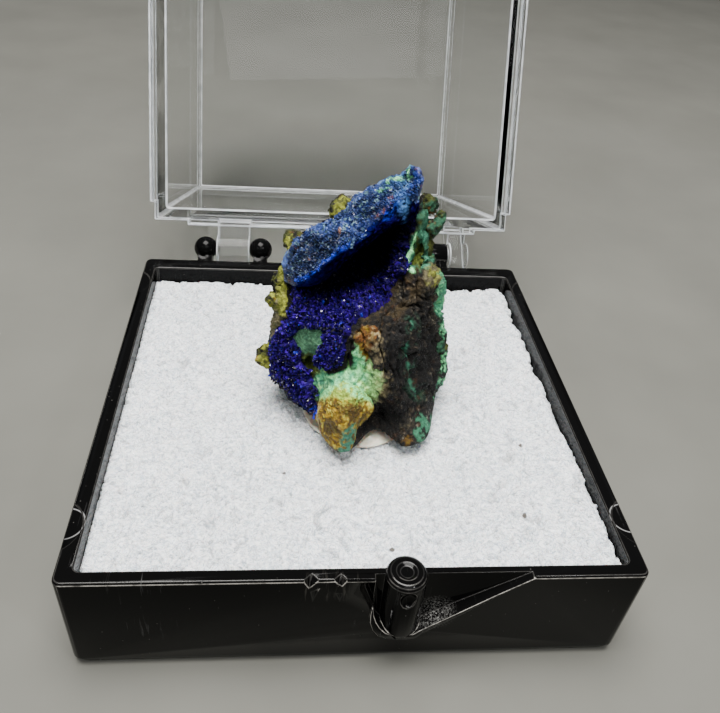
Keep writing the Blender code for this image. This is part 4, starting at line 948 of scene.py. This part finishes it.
def slab_tint(a, b, points):
    """The slab's colours: navy to slate grains with painted shade in the folds and painted light on their
    ridges, painted near-black shade on the face below the lip, a broken cobalt lip, and a paler tip with
    green streaks."""
    broad = rough_noise(points, 2.0, 101, 3)
    _, tag = cell_noise(points, 0.28, 95)
    colour = graded(NAVY, SLATE, tag + 0.5 * broad, 0.3, 1.1)
    colour = mix(colour, SAGE, smooth_step(tag, 0.88, 0.93) * 0.8)
    # Painted light and shade: lighter where slab_folds raises the slab and darker where it sinks it.
    painted_fold_light = smooth_step(slab_folds(points) + 0.4 * broad, -0.5, 0.5)
    colour = colour * (0.24 + 1.3 * painted_fold_light)[..., None]
    colour = mix(colour, RUST_RED, smooth_step(rough_noise(points, 0.7, 103, 2), 0.76, 0.90) * 0.7)
    # Painted shade: near-black on the face below the lip, which looks into the hollow.
    below = graded(AZURITE_DARK_AND_SHADE, AZURITE, tag, 0.3, 1.4)
    colour = mix(colour, below, mineral_share(SLAB_SHADED_FACE, a, b, points, 0.12))

    wavy = a + 0.15 * broad
    near_lip = np.minimum(line_distance(SLAB_LIP, wavy, b), line_distance(SLAB_LIP_HIGH, wavy, b) + 0.08)
    colour = mix(colour, COBALT, smooth_step(0.9 - near_lip, 0.0, 0.9) * 0.10)
    broken = smooth_step(rough_noise(points, 0.8, 105, 2) + 0.7 * tag, 0.0, 0.5)
    colour = mix(colour, COBALT, smooth_step(0.09 - near_lip, -0.08, 0.06) * broken)
    tip = smooth_step(0.45 - line_distance(TIP_LINE, wavy, b), -0.4, 0.3)
    colour = mix(colour, COBALT, tip * smooth_step(tag, 0.0, 0.9) * 0.45)
    high = smooth_step(a + b, 13.5, 17.5) * smooth_step(5.5 - a, 0.0, 0.9)
    colour = mix(colour, TIP_BLUE, high * smooth_step(tag + 0.4 * broad, 0.2, 1.0) * 0.75)
    streaks = mineral_share(TIP_STREAKS, a, b, points, 0.25)
    streaked = rough_noise(points * (0.6, 1.0, 1.6), 0.5, 104, 3) + 0.5 * tag
    return mix(colour, MALACHITE_PALE, streaks * smooth_step(streaked, 0.0, 0.7) * 0.85)


def slab_pieces(finish):
    """The overhanging roof: a thick relief with a small hole, and the crystals that stand on it."""
    front = stretched_sheet(SLAB_FRONT, 0.2)

    def middle(a, b):
        return front(a, b) - SLAB_THICK * 0.45

    def under(a, b):
        return front(a, b) - SLAB_THICK

    a, b, share, face, back = relief_grids(
        SLAB_OUTLINE, SLAB_CENTRE, front, middle, under, SLAB_CELLS, (FLAT, ROUND)
    )
    ways = outward(face, share)
    held = 1 - 0.35 * smooth_step(share, 0.85, 1.0)
    hole = 0.9 * np.exp(-((a - SLAB_HOLE[0]) ** 2 + (b - SLAB_HOLE[1]) ** 2) / 0.2)
    drawn = -0.38 * smooth_step(share, 0.82, 1.0) - hole
    moved = face + ways * (slab_relief(face) * held + drawn)[..., None]
    back = back + outward(back, share, -1) * (slab_relief(back) * held + drawn)[..., None]
    # Painted shade: below the lip the slab has no gloss and no crystals.
    low = mineral_share(SLAB_SHADED_FACE, a, b, moved, 0.12)
    top_tint = glossed(slab_tint(a, b, moved), 0.4 * (1 - low))
    # Painted shade: the underside is near-black and without gloss, turning to the top's colour at the rim.
    under_tint = glossed(graded(AZURITE_DARK_AND_SHADE, slab_tint(a, b, back), share, 0.90, 1.0), 0.0)
    points, faces, values = closed_pair(moved, back, top_tint, under_tint)
    slab = new_piece("azurite_slab", points, faces, finish, values, smooth=False)
    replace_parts(slab, "specimen_rock")

    rng = np.random.default_rng(111)
    lip = smooth_step(0.24 - line_distance(SLAB_LIP, a, b), -0.1, 0.1)
    chosen = picked(moved, (0.6 + 0.5 * lip) * (share < 0.93) * (1 - low), SLAB_CRYSTALS, 112)
    size = rng.uniform(0, 1, len(chosen)) ** 1.6
    tag = rng.uniform(0, 1, len(chosen))
    tints = graded(NAVY, SLATE, tag, 0.25, 0.95)
    tints = mix(tints, SAGE, smooth_step(tag, 0.86, 0.9) * 0.8)
    tints = mix(tints, PALE_BLUE, smooth_step(tag, 0.95, 0.96) * 0.8)
    # The crystals take most of their colour from the slab under them, and the painted fold light and shade
    # come with it.
    tints = tints * 0.35 + top_tint[..., :3].reshape(-1, 3)[chosen] * 0.65
    tints = mix(tints, COBALT, lip.ravel()[chosen] * smooth_step(tag, 0.3, 0.9) * 0.8)
    gloss = 0.2 + 0.8 * (rng.uniform(0, 1, len(chosen)) > 0.94)
    blades("slab_crystals", moved.reshape(-1, 3)[chosen], ways.reshape(-1, 3)[chosen],
           0.08 + 0.18 * size, 0.11 + 0.19 * size, 0.6, tints, gloss, finish, 113)


def lobe_tint(a, b, points, tag):
    """The lobe's colours: gold and dark ochre grains, brown shade, green above, a cream left foot,
    a blue-green right foot, and a pale band where ochre meets mint."""
    grain = rough_noise(points, 0.4, 124, 3)
    ochre = depth_inside(OCHRE, a, b)
    upper = smooth_step(b + 9.9, 0.0, 0.8)
    tint = graded(OCHRE_DARK, OCHRE_GOLD, tag + 0.5 * grain, -0.1, 0.6)
    tint = mix(tint, OCHRE_PALE, smooth_step(tag, 0.80, 0.95) * 0.9)
    tint = mix(tint, OCHRE_SHADE, smooth_step(rough_noise(points, 1.2, 125, 4), -0.15, 0.6) * 0.85)
    tint = mix(tint, LEAF_GREEN, smooth_step(b + 9.9 + 0.6 * grain, 0.0, 1.0) * 0.6)
    cream = smooth_step(-a - 2.25 + 0.25 * grain, -0.1, 0.2) * smooth_step(-b - 9.9, -0.4, 0.2)
    tint = mix(tint, CREAM_WHITE, cream * 0.85)
    tint = mix(tint, TEAL, mineral_share(LOBE_GREEN, a, b, points, 0.2) * smooth_step(grain, -0.6, 0.1))
    band = smooth_step(0.5 - np.abs(ochre), 0.0, 0.5) * smooth_step(b + 10.2, 0.0, 0.8)
    tint = mix(tint, OCHRE_PALE, band * smooth_step(grain, -0.5, 0.5))
    mint = (1 - mineral_share(OCHRE, a, b, points, 0.3)) * upper
    return mix(tint, MINT_GREEN, mint * smooth_step(grain, -0.7, 0.3))


def lobe_piece(finish):
    """Limonite that bulges over the left foot: a relief with a fine glittering grain."""
    front = stretched_sheet(LOBE_FRONT, 0.2)

    def under(a, b):
        return np.maximum(front(a, b) - LOBE_THICK, sole_depth(b) + 0.5)

    def middle(a, b):
        return np.maximum(front(a, b) - LOBE_RIM, sole_depth(b) + 1.0)

    a, b, share, face, back = relief_grids(
        LOBE_OUTLINE, LOBE_CENTRE, front, middle, under, LOBE_CELLS, (ROUND, ROUND)
    )
    near, tag = cell_noise(face, 0.26, 121)
    lift = (0.5 - near) * 0.16 + tag * 0.10 + rough_noise(face, 1.4, 123, 4) * 0.24
    lift = lift * smooth_step(face[..., 2], ROCK_FLOOR + 0.2, ROCK_FLOOR + 1.5)
    moved = face + outward(face, share) * lift[..., None]
    behind = mix(back_tint(back), OCHRE_DARK, share)
    points, faces, values = closed_pair(moved, back, lobe_tint(a, b, moved, tag), behind)
    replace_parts(new_piece("limonite_lobe", points, faces, finish, values), "specimen_rock")


def knob_piece(number, a, b, c, radius, rust, leaf, finish):
    """A round lump: two half balls over one disc, their radius changed by noise."""
    share, angle = disc_grid(KNOB_CELLS)
    polar = share * math.pi / 2
    centre = on_face(np.array(a), np.array(b), np.array(c))
    leaf_colour = MALACHITE_DARK if leaf == "green" else LIME
    halves, tints = [], []
    for side in (1, -1):
        parts = (np.sin(polar) * np.cos(angle), np.sin(polar) * np.sin(angle), side * np.cos(polar))
        way = sum(part[..., None] * axis for part, axis in zip(parts, (FACE_A, FACE_B, FACE_C)))
        ball = centre + way * radius
        near, tag = cell_noise(ball, 0.62, 131)
        lift = rough_noise(ball, 1.5, 132, 4) * 0.52 + (0.45 - near) * 0.40 + (tag - 0.5) * 0.12
        ball = ball + way * lift[..., None]
        grain = rough_noise(ball, 0.4, 133, 3)
        tint = mix(brown_rock(ball), OLIVE, smooth_step(grain, -0.5, 0.5) * 0.8)
        leafy = smooth_step(rough_noise(ball, 0.9, 134, 3) + 0.3 * grain, -0.1, 0.5)
        tint = mix(tint, leaf_colour, leafy * 0.85)
        rusty = smooth_step(rough_noise(ball, 1.3, 135, 3) + rust, 0.6, 1.0)
        halves.append(ball)
        tints.append(mix(tint, RUST_RED, rusty * 0.8))
    points, faces, values = closed_pair(*halves, *tints)
    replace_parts(new_piece(f"side_knob_{number}", points, faces, finish, values), "specimen_rock")


# Box -----------------------------------------------------------------------------------------------


def foam_outline(cells):
    """Places on the foam's top: a square whose right and back edges wander by noise, bent round a
    half circle about the latch post. Also gives how far each is from its two torn edges and from
    the nearest edge."""
    u, v = np.meshgrid(np.linspace(0, 1, cells + 1), np.linspace(0, 1, cells + 1))
    flat = np.stack((u * (FOAM_RIGHT - FOAM_LEFT), v * (FOAM_BACK - FOAM_FRONT), np.zeros(u.shape)), axis=-1)
    bites = rough_noise(flat * (0, 1, 0) + 3.3, 3.4, 141, 4)
    frayed = rough_noise(flat * (1, 0, 0) + 7.7, 2.9, 142, 4)
    right = FOAM_RIGHT - np.clip(0.15 + 0.20 * bites, 0, 1) - 0.45 * smooth_step(bites, 0.35, 0.6)
    back = FOAM_BACK - np.clip(0.25 + 0.30 * frayed, 0, 1)
    x = FOAM_LEFT + u * (right - FOAM_LEFT)
    notch = POST_CLEAR**2 - (x - POST_X) ** 2
    bent = np.maximum(FOAM_FRONT, POST_Y + np.sqrt(np.clip(notch, 0, None)))
    front = np.where(notch > 0, bent, FOAM_FRONT)
    y = front + v * (back - front)
    torn = np.minimum(right - x, back - y)
    return x, y, torn, np.minimum(torn, np.minimum(x - FOAM_LEFT, y - front))


def foam_piece(finish):
    """A block of foam with curly cells on top: ridged noise bent by other noise lifts the sheet, which is
    torn low along its right and back edges and stands higher at the front right corner. Its colour carries
    painted shade in the grooves between the cells."""
    x, y, torn, edge = foam_outline(FOAM_CELLS)
    level = np.zeros(x.shape)
    flat = np.stack((x, y, level), axis=-1)
    warp = np.stack((rough_noise(flat, 1.9, 143, 2), rough_noise(flat, 1.9, 144, 2), level), axis=-1)
    curls = np.abs(soft_noise(flat + warp * 0.9, 0.85, 145))
    fine = np.abs(soft_noise(flat + warp * 0.5, 0.42, 146))
    lift = 0.30 - 0.34 * (1 - smooth_step(curls, 0.0, 0.16)) - 0.16 * (1 - smooth_step(fine, 0.0, 0.16))
    lift = lift + 0.10 * rough_noise(flat, 7.0, 147, 2)
    lift = lift + 0.8 * smooth_step(x, 2.0, 24.0) * smooth_step(-y, 0.0, 22.0)
    lift = lift - 0.2 * (1 - smooth_step(edge, 0.0, 0.3)) ** 2
    ragged = smooth_step(rough_noise(flat, 1.2, 148, 3), -0.1, 0.6)
    lift = lift - 0.4 * (1 - smooth_step(torn, 0.0, 0.8)) * ragged
    top = np.stack((x, y, FOAM_TOP - 0.12 + lift), axis=-1).reshape(-1, 3)

    numbers = np.arange(x.size).reshape(x.shape)
    ring = np.concatenate((numbers[0, :-1], numbers[:-1, -1], numbers[-1, :0:-1], numbers[:0:-1, 0]))
    foot = top[ring] * (1, 1, 0) + (0, 0, FOAM_LOW)
    low = np.arange(len(ring)) + x.size
    low_ahead = np.roll(low, -1)
    wall = wall_faces(ring, np.roll(ring, -1), low, low_ahead)
    sole = np.column_stack((low_ahead, low, np.full(len(low), x.size + len(ring))))
    middle = (FOAM_LEFT + FOAM_RIGHT) / 2, (FOAM_FRONT + FOAM_BACK) / 2, FOAM_LOW
    points = np.concatenate((top, foot, [middle]))
    # Painted shade: darker in the grooves, where the same curly noise sinks the top.
    shade = 0.50 + 0.50 * smooth_step(np.minimum(curls, fine * 1.4), 0.0, 0.12)
    shade = np.tile(np.concatenate((shade.ravel(), np.ones(len(ring) + 1)))[:, None], 3)
    faces = np.concatenate((grid_faces(numbers), wall, sole))
    piece = new_piece("foam_block", points, faces, finish, shade)
    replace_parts(piece, "foam_insert")


def putty_piece(finish):
    """The pressed pad: two halves over one disc, with a wavy edge and a raised, uneven rim."""
    share, angle = disc_grid(PUTTY_CELLS)
    centre = (PAD[0, :2] + PAD[1, :2]) / 2
    radii = (PAD[1, :2] - PAD[0, :2]) / 2
    wave = 0.965 + 0.03 * np.sin(3 * angle + 0.6) + 0.015 * np.sin(7 * angle)
    x = centre[0] + radii[0] * share * wave * np.cos(angle)
    y = centre[1] + radii[1] * share * wave * np.sin(angle)
    spot = np.stack((x, y, np.zeros(x.shape)), axis=-1)
    hold = np.sqrt(np.clip(1 - share**12, 0, 1))
    middle = (PAD[0, 2] + PAD[1, 2]) / 2
    high = PAD[1, 2] - middle - 0.02 + 0.12 * rough_noise(spot, 1.3, 151, 3)
    rim = smooth_step(share, 0.55, 0.8) * smooth_step(rough_noise(spot, 2.2, 153, 3), -0.3, 0.5)
    high = high + 0.5 * rim
    top = np.stack((x, y, middle + high * hold), axis=-1)
    low = np.stack((x, y, middle - (middle - PAD[0, 2]) * hold), axis=-1)
    tint = 0.85 + 0.15 * rough_noise(spot, 0.8, 152, 3)[..., None] * np.ones(3)
    points, faces, values = closed_pair(top, low, tint, tint)
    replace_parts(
        new_piece("putty_pad_pressed", points, faces, finish, values), "putty_pad"
    )


def chip_cutters():
    """One tetrahedron for each chip: its V stands before the front wall and its point lies in the
    rim, so that it takes a V out of the wall's upper edge."""
    ahead, inside, above = WALL_FRONT - 0.4, WALL_FRONT + 0.85, RIM_TOP + 0.1
    cutters = []
    for x, half, depth in CHIPS:
        corners = [(x - half, ahead, above), (x + half * 0.9, ahead, above),
                   (x - 0.2, ahead, RIM_TOP - depth), (x + 0.1, inside, above)]
        mesh = bpy.data.meshes.new("chip_cutter")
        mesh.from_pydata(np.array(corners) * MM, [], [(0, 2, 1), (0, 1, 3), (1, 2, 3), (2, 0, 3)])
        cutters.append(linked("chip_cutter", mesh))
    return cutters


def smoothed_copy(node, name, body, finishes, bevel, smooth, cutters=()):
    """A CAD node's own mesh with its corners welded, its chips cut and its edges rounded a little;
    the first finish is its faces' and the second its rounded edges'."""
    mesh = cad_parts[node].data.copy()
    mesh.materials.clear()
    for finish in finishes:
        mesh.materials.append(finish)
    mesh.polygons.foreach_set("use_smooth", np.full(len(mesh.polygons), smooth))
    piece = linked(name, mesh)
    piece.modifiers.new("weld", "WELD").merge_threshold = WELD_GAP * MM
    for cutter in cutters:
        piece.modifiers.new("chip", "BOOLEAN").object = cutter
    rounding = piece.modifiers.new("bevel", "BEVEL")
    rounding.width = bevel * MM
    rounding.segments = 2
    rounding.limit_method = "ANGLE"
    rounding.angle_limit = BEVEL_ANGLE
    rounding.use_clamp_overlap = False
    rounding.harden_normals = smooth
    rounding.material = 1
    done = piece.evaluated_get(bpy.context.evaluated_depsgraph_get())
    piece.data = bpy.data.meshes.new_from_object(done)
    piece.data.name = name
    piece.modifiers.clear()
    for cutter in cutters:
        bpy.data.meshes.remove(cutter.data)
    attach(piece, body)
    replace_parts(piece, node)
    return piece


def mark_rim(lid):
    """Gives the faces of the lid's open rim the finish of its edges, with their painted highlight."""
    faces = lid.data.polygons
    centres, normals = np.empty(len(faces) * 3), np.empty(len(faces) * 3)
    finishes = np.empty(len(faces), dtype=np.int32)
    faces.foreach_get("center", centres)
    faces.foreach_get("normal", normals)
    faces.foreach_get("material_index", finishes)
    facing = normals.reshape(-1, 3) @ LID_MOUTH > 0.98
    outermost = centres.reshape(-1, 3) @ LID_MOUTH / MM > LID_RIM - 0.1
    finishes[facing & outermost] = 1
    faces.foreach_set("material_index", finishes)


# Materials -----------------------------------------------------------------------------------------


def tinted(graph, dark=0.45, light=1.6, scale=3000.0):
    """The piece's own colour attribute, broken up by a fine noise."""
    fine = graph.noise(scale, detail=5.0, roughness=0.65)
    shade = graph.ramp(fine, [(0.3, (dark,) * 3), (0.7, (light,) * 3)])
    return graph.blend(1.0, graph.tint(), shade, "MULTIPLY"), fine


def rock_finish(name, low, high, sparkle):
    """Dull grainy rock with small flakes that are smoother than the rest."""
    graph = Graph(name)
    colour, fine = tinted(graph)
    rough = graph.range(graph.speckle(3800.0, 0.25, 0.32), 0.0, 1.0, high, low)
    grain = graph.bump(fine, 0.00034, 1.0)
    normal = graph.bump(graph.noise(7000.0, 3.0), 0.00004, sparkle, grain)
    return graph.finish(Base_Color=colour, Roughness=rough, Normal=normal, Specular_IOR_Level=0.3)


def azurite_finish():
    """Glassy crystal where the piece's tint says so by its fourth value, dull and grainy elsewhere."""
    graph = Graph("azurite_glassy")
    colour, fine = tinted(graph, 0.7, 1.35, 4200.0)
    gloss = graph.tint("Alpha")
    rough = graph.range(gloss, 0.1, 0.9, 0.55, 0.10)
    normal = graph.bump(fine, 0.00004, 0.7)
    return graph.finish(Base_Color=colour, Roughness=rough, Normal=normal,
                        Specular_IOR_Level=graph.range(gloss, 0.0, 1.0))


def foam_finish():
    """White foam with cool grey lines of painted shade along its cell walls and a few dark specks."""
    graph = Graph("white_polyethylene_foam")
    wave = graph.noise(900.0, 5.0, 0.6, 1.2)
    cool = graph.ramp(wave, [(0.35, (0.84, 0.89, 0.93)), (0.65, (0.97, 0.98, 0.985))])
    colour = graph.blend(1.0, graph.tint(), cool, "MULTIPLY")
    # Painted shade: thin cool grey lines that stand in for the shading along the cells' walls.
    stroke_shade = graph.math("ABSOLUTE", graph.math("SUBTRACT", graph.noise(750.0, 2.0, 0.5, 3.0), 0.5))
    stroke_shade = graph.ramp(stroke_shade, [(0.0, (0.52, 0.57, 0.62)), (0.07, (1, 1, 1))])
    colour = graph.blend(1.0, colour, stroke_shade, "MULTIPLY")
    colour = graph.blend(graph.speckle(160.0, 0.035, 0.05), colour, (0.08, 0.07, 0.06, 1.0))
    normal = graph.bump(graph.noise(1300.0, 4.0, 0.6, 2.6), 0.0004, 0.9)
    return graph.finish(Base_Color=colour, Roughness=0.42, Normal=normal, Subsurface_Weight=0.05,
                        Subsurface_Scale=0.0006)


def putty_finish():
    """Dull cream putty that lets a little light in."""
    graph = Graph("cream_putty_dull")
    fine = graph.noise(1400.0, 5.0)
    cream = graph.ramp(fine, [(0.35, (0.62, 0.57, 0.44)), (0.65, (0.84, 0.80, 0.68))])
    colour = graph.blend(1.0, graph.tint(), cream, "MULTIPLY")
    return graph.finish(Base_Color=colour, Roughness=0.45, Normal=graph.bump(fine, 0.0001, 0.6),
                        Subsurface_Weight=0.3, Subsurface_Scale=0.001)


def black_finish():
    """Gloss black plastic with hair scratches in two directions, dull rubs, a little dust, light grey specks
    on the latch ramp that are partly scuff marks and partly a painted sheen, stress lines under two chips of
    the rim and two ejector marks."""
    graph = Graph("black_polystyrene_gloss")
    scratches = graph.hairs(((0.4, 1.0), (-0.9, 1.4)), 0.66, 0.72)
    worn = graph.times(scratches, graph.range(graph.noise(120.0, 6.0, 0.7), 0.52, 0.68))
    colour = graph.blend(graph.times(worn, 0.18), grey(0.002), grey(0.16))
    dust = graph.speckle(900.0, 0.03, 0.06)
    colour = graph.blend(graph.times(dust, 0.25), colour, (0.25, 0.24, 0.22, 1))
    # Light grey specks near the ramp's foot: scuff marks, and a painted sheen on the ramp.
    ramp_sheen_and_scuffs = graph.range(graph.noise(5200.0, 4.0, 0.7), 0.48, 0.66)
    ramp_sheen_and_scuffs = graph.times(graph.near(RAMP_FOOT, 0.4, 2.4), ramp_sheen_and_scuffs)
    colour = graph.blend(graph.times(ramp_sheen_and_scuffs, 0.42), colour, (0.42, 0.42, 0.40, 1))
    upright = graph.add("ShaderNodeMapping", Vector=graph.place(), Scale=(3400, 700, 260)).outputs["Vector"]
    streaks = graph.range(graph.noise(1.0, 2.0, 0.6, 0.3, upright), 0.56, 0.66)
    for x, _, _ in CHIPS:
        spot = graph.times(graph.near((x + 0.5, WALL_FRONT - 0.1, RIM_TOP - 1.4), 0.6, 2.0), streaks)
        colour = graph.blend(graph.times(spot, 0.08), colour, (0.40, 0.38, 0.33, 1))
    for point in EJECTOR_MARKS:
        ring = graph.less(graph.near(point, 1.72, 1.80), graph.near(point, 1.62, 1.70))
        colour = graph.blend(graph.times(ring, 0.45), colour, grey(0.40))
    rough = graph.range(graph.noise(260.0, 5.0), 0.3, 0.7, 0.06, 0.13)
    rough = graph.math("ADD", rough, graph.times(worn, 0.3))
    normal = graph.bump(scratches, 0.000006, 0.5)
    return graph.finish(Base_Color=colour, Roughness=rough, Normal=normal, Specular_IOR_Level=0.08)


def worn_edge_finish():
    """The tray's rounded edges: black, rubbed to light grey along the front wall's upper edge, but
    not on the post or under the chips."""
    graph = Graph("black_polystyrene_worn_edge")
    parts = graph.add("ShaderNodeSeparateXYZ", Vector=graph.place())
    front = graph.range(parts.outputs["Y"], (WALL_FRONT + 0.11) * MM, (WALL_FRONT + 0.06) * MM, 0.08)
    high = graph.range(parts.outputs["Z"], 3.0 * MM, 5.0 * MM, 0.15)
    rubbed = graph.range(graph.noise(900.0, 5.0, 0.75), 0.36, 0.56, 0.15)
    share = graph.times(rubbed, graph.times(front, high))
    for point in POST_MIDDLES:
        share = graph.less(share, graph.times(graph.near(point, 2.4, 2.7), 0.85))
    for point in UNDER_CHIPS:
        share = graph.less(share, graph.near(point, 0.85, 1.15))
    colour = graph.blend(share, grey(0.006), (0.24, 0.23, 0.21, 1))
    rough = graph.range(share, 0.0, 1.0, 0.2, 0.6)
    return graph.finish(Base_Color=colour, Roughness=rough, Specular_IOR_Level=0.2)


def clear_finish():
    """Clear polystyrene: a faint smear in its polish and a few hair scratches."""
    graph = Graph("clear_polystyrene_polished")
    hair = graph.hairs(((0.7, 0.7),), 0.70, 0.74)
    smear = graph.noise(90.0, 5.0, 0.6, 0.8)
    rough = graph.math("ADD", graph.range(smear, 0.45, 0.75, 0.0, 0.015), graph.times(hair, 0.1))
    colour = graph.ramp(smear, [(0.4, (0.965, 0.975, 0.98)), (0.7, (0.94, 0.955, 0.96))])
    normal = graph.bump(hair, 0.000004, 0.3)
    return graph.finish(Base_Color=colour, Roughness=rough, Normal=normal, IOR=1.05,
                        Transmission_Weight=1.0, Coat_Weight=0.16, Coat_Roughness=0.03)


def clear_edge_highlight_finish():
    """The lid's rounded edges and open rim, painted pale and only partly clear as a painted highlight, so
    that they read as pale lines.
    """
    graph = Graph("clear_polystyrene_edge_highlight")
    wave = graph.noise(500.0, 4.0)
    colour = graph.ramp(wave, [(0.3, (0.70, 0.74, 0.78)), (0.7, (0.92, 0.94, 0.96))])
    clear = graph.range(wave, 0.3, 0.7, 0.60, 0.40)
    return graph.finish(Base_Color=colour, Roughness=0.25, IOR=1.2, Transmission_Weight=clear,
                        Coat_Weight=0.5)


# Studio --------------------------------------------------------------------------------------------

LAMPS = [  # name, place, height of the point it faces, side in metres, watts, colour
    ("key", (-20, -25, 430), 15, 0.28, 6.5, (1.0, 0.98, 0.95)),
    ("front_fill", (40, -260, 300), 15, 0.2, 0.35, (1, 1, 1)),
    ("glint_left", (-150, -160, 190), 20, 0.02, 0.14, (1, 1, 1)),
    ("glint_right", (120, -150, 200), 20, 0.02, 0.14, (1, 1, 1)),
]
SKY = (0.80, 0.84, 0.90, 1)
SKY_STRENGTH = 0.12
FLOOR_HALF = 1.2  # metres
CAMERA_PLACE = (-8.00, -66.22, 68.37)
PITCH = math.radians(33.77)
YAW = math.radians(7.53)
ROLL = math.radians(5.61)
SENSOR = 36.0
LENS = 38.08
SHIFT = -0.0785


def lamp(name, place, aim, side, watts, colour):
    """A square soft lamp that faces a point above the middle of the floor."""
    data = bpy.data.lights.new(name, "AREA")
    data.size = side
    data.energy = watts
    data.color = colour
    made = linked(name, data)
    made.location = Vector(place) * MM
    made.rotation_euler = (Vector(place) - Vector((0, 0, aim))).to_track_quat("Z", "Y").to_euler()


def studio():
    """A pale floor, an even pale surround and soft lamps."""
    floor = bpy.data.meshes.new("studio_floor")
    corners = [(x * FLOOR_HALF, y * FLOOR_HALF, 0) for x, y in ((-1, -1), (1, -1), (1, 1), (-1, 1))]
    floor.from_pydata(corners, [], [(0, 1, 2, 3)])
    graph = Graph("studio_floor_grey")
    colour = graph.ramp(graph.noise(40.0, 4.0), [(0.3, (0.090, 0.090, 0.078)), (0.7, (0.108, 0.108, 0.094))])
    floor.materials.append(graph.finish(Base_Color=colour, Roughness=0.8))
    piece = linked("studio_floor", floor)
    piece.location.z = -0.00002

    world = bpy.data.worlds.new("studio_world")
    bpy.context.scene.world = world
    world.use_nodes = True
    background = world.node_tree.nodes["Background"]
    background.inputs["Color"].default_value = SKY
    background.inputs["Strength"].default_value = SKY_STRENGTH
    for settings in LAMPS:
        lamp(*settings)


def camera():
    """A camera turned by its pitch, yaw and roll: its right and up directions are worked out from
    the way it looks, then turned about that way."""
    ahead = Vector((math.sin(YAW) * math.cos(PITCH), math.cos(YAW) * math.cos(PITCH), -math.sin(PITCH)))
    level = Vector((math.cos(YAW), -math.sin(YAW), 0))
    steep = level.cross(ahead)
    right = math.cos(ROLL) * level + math.sin(ROLL) * steep
    up = -math.sin(ROLL) * level + math.cos(ROLL) * steep
    data = bpy.data.cameras.new("camera")
    data.sensor_width = SENSOR
    data.lens = LENS
    data.shift_y = SHIFT
    data.clip_start = 0.001
    made = linked("camera", data)
    turn = Matrix((right, up, -ahead)).transposed().to_4x4()
    made.matrix_world = Matrix.Translation(Vector(CAMERA_PLACE) * MM) @ turn
    bpy.context.scene.camera = made


def specimen():
    """The rock, and the minerals that sit on it or stand out of its sides."""
    stone = rock_finish("goethite_and_malachite_rough", 0.35, 0.85, 0.5)
    gold = rock_finish("limonite_glittering", 0.15, 0.7, 0.9)
    blue = azurite_finish()
    a, b, share, face, ways, druse = rock_piece(stone)
    top, deep = druse_piece(a, b, share, face, ways, druse, blue)
    druse_crystals(a, b, share, top, ways, druse, deep, blue)
    slab_pieces(blue)
    lobe_piece(gold)
    for number, knob in enumerate(KNOBS):
        knob_piece(number, *knob, stone)


def box():
    """The foam and putty under the specimen, and the tray and lid with softened edges."""
    foam_piece(foam_finish())
    putty_piece(putty_finish())
    tray = smoothed_copy("base_tray", "moulded_tray", "box", (black_finish(), worn_edge_finish()), TRAY_EDGE,
                         True, chip_cutters())
    lid = smoothed_copy("clear_lid", "moulded_lid", "lid", (clear_finish(), clear_edge_highlight_finish()),
                        LID_EDGE, False)
    mark_rim(lid)


specimen()
box()
studio()
camera()
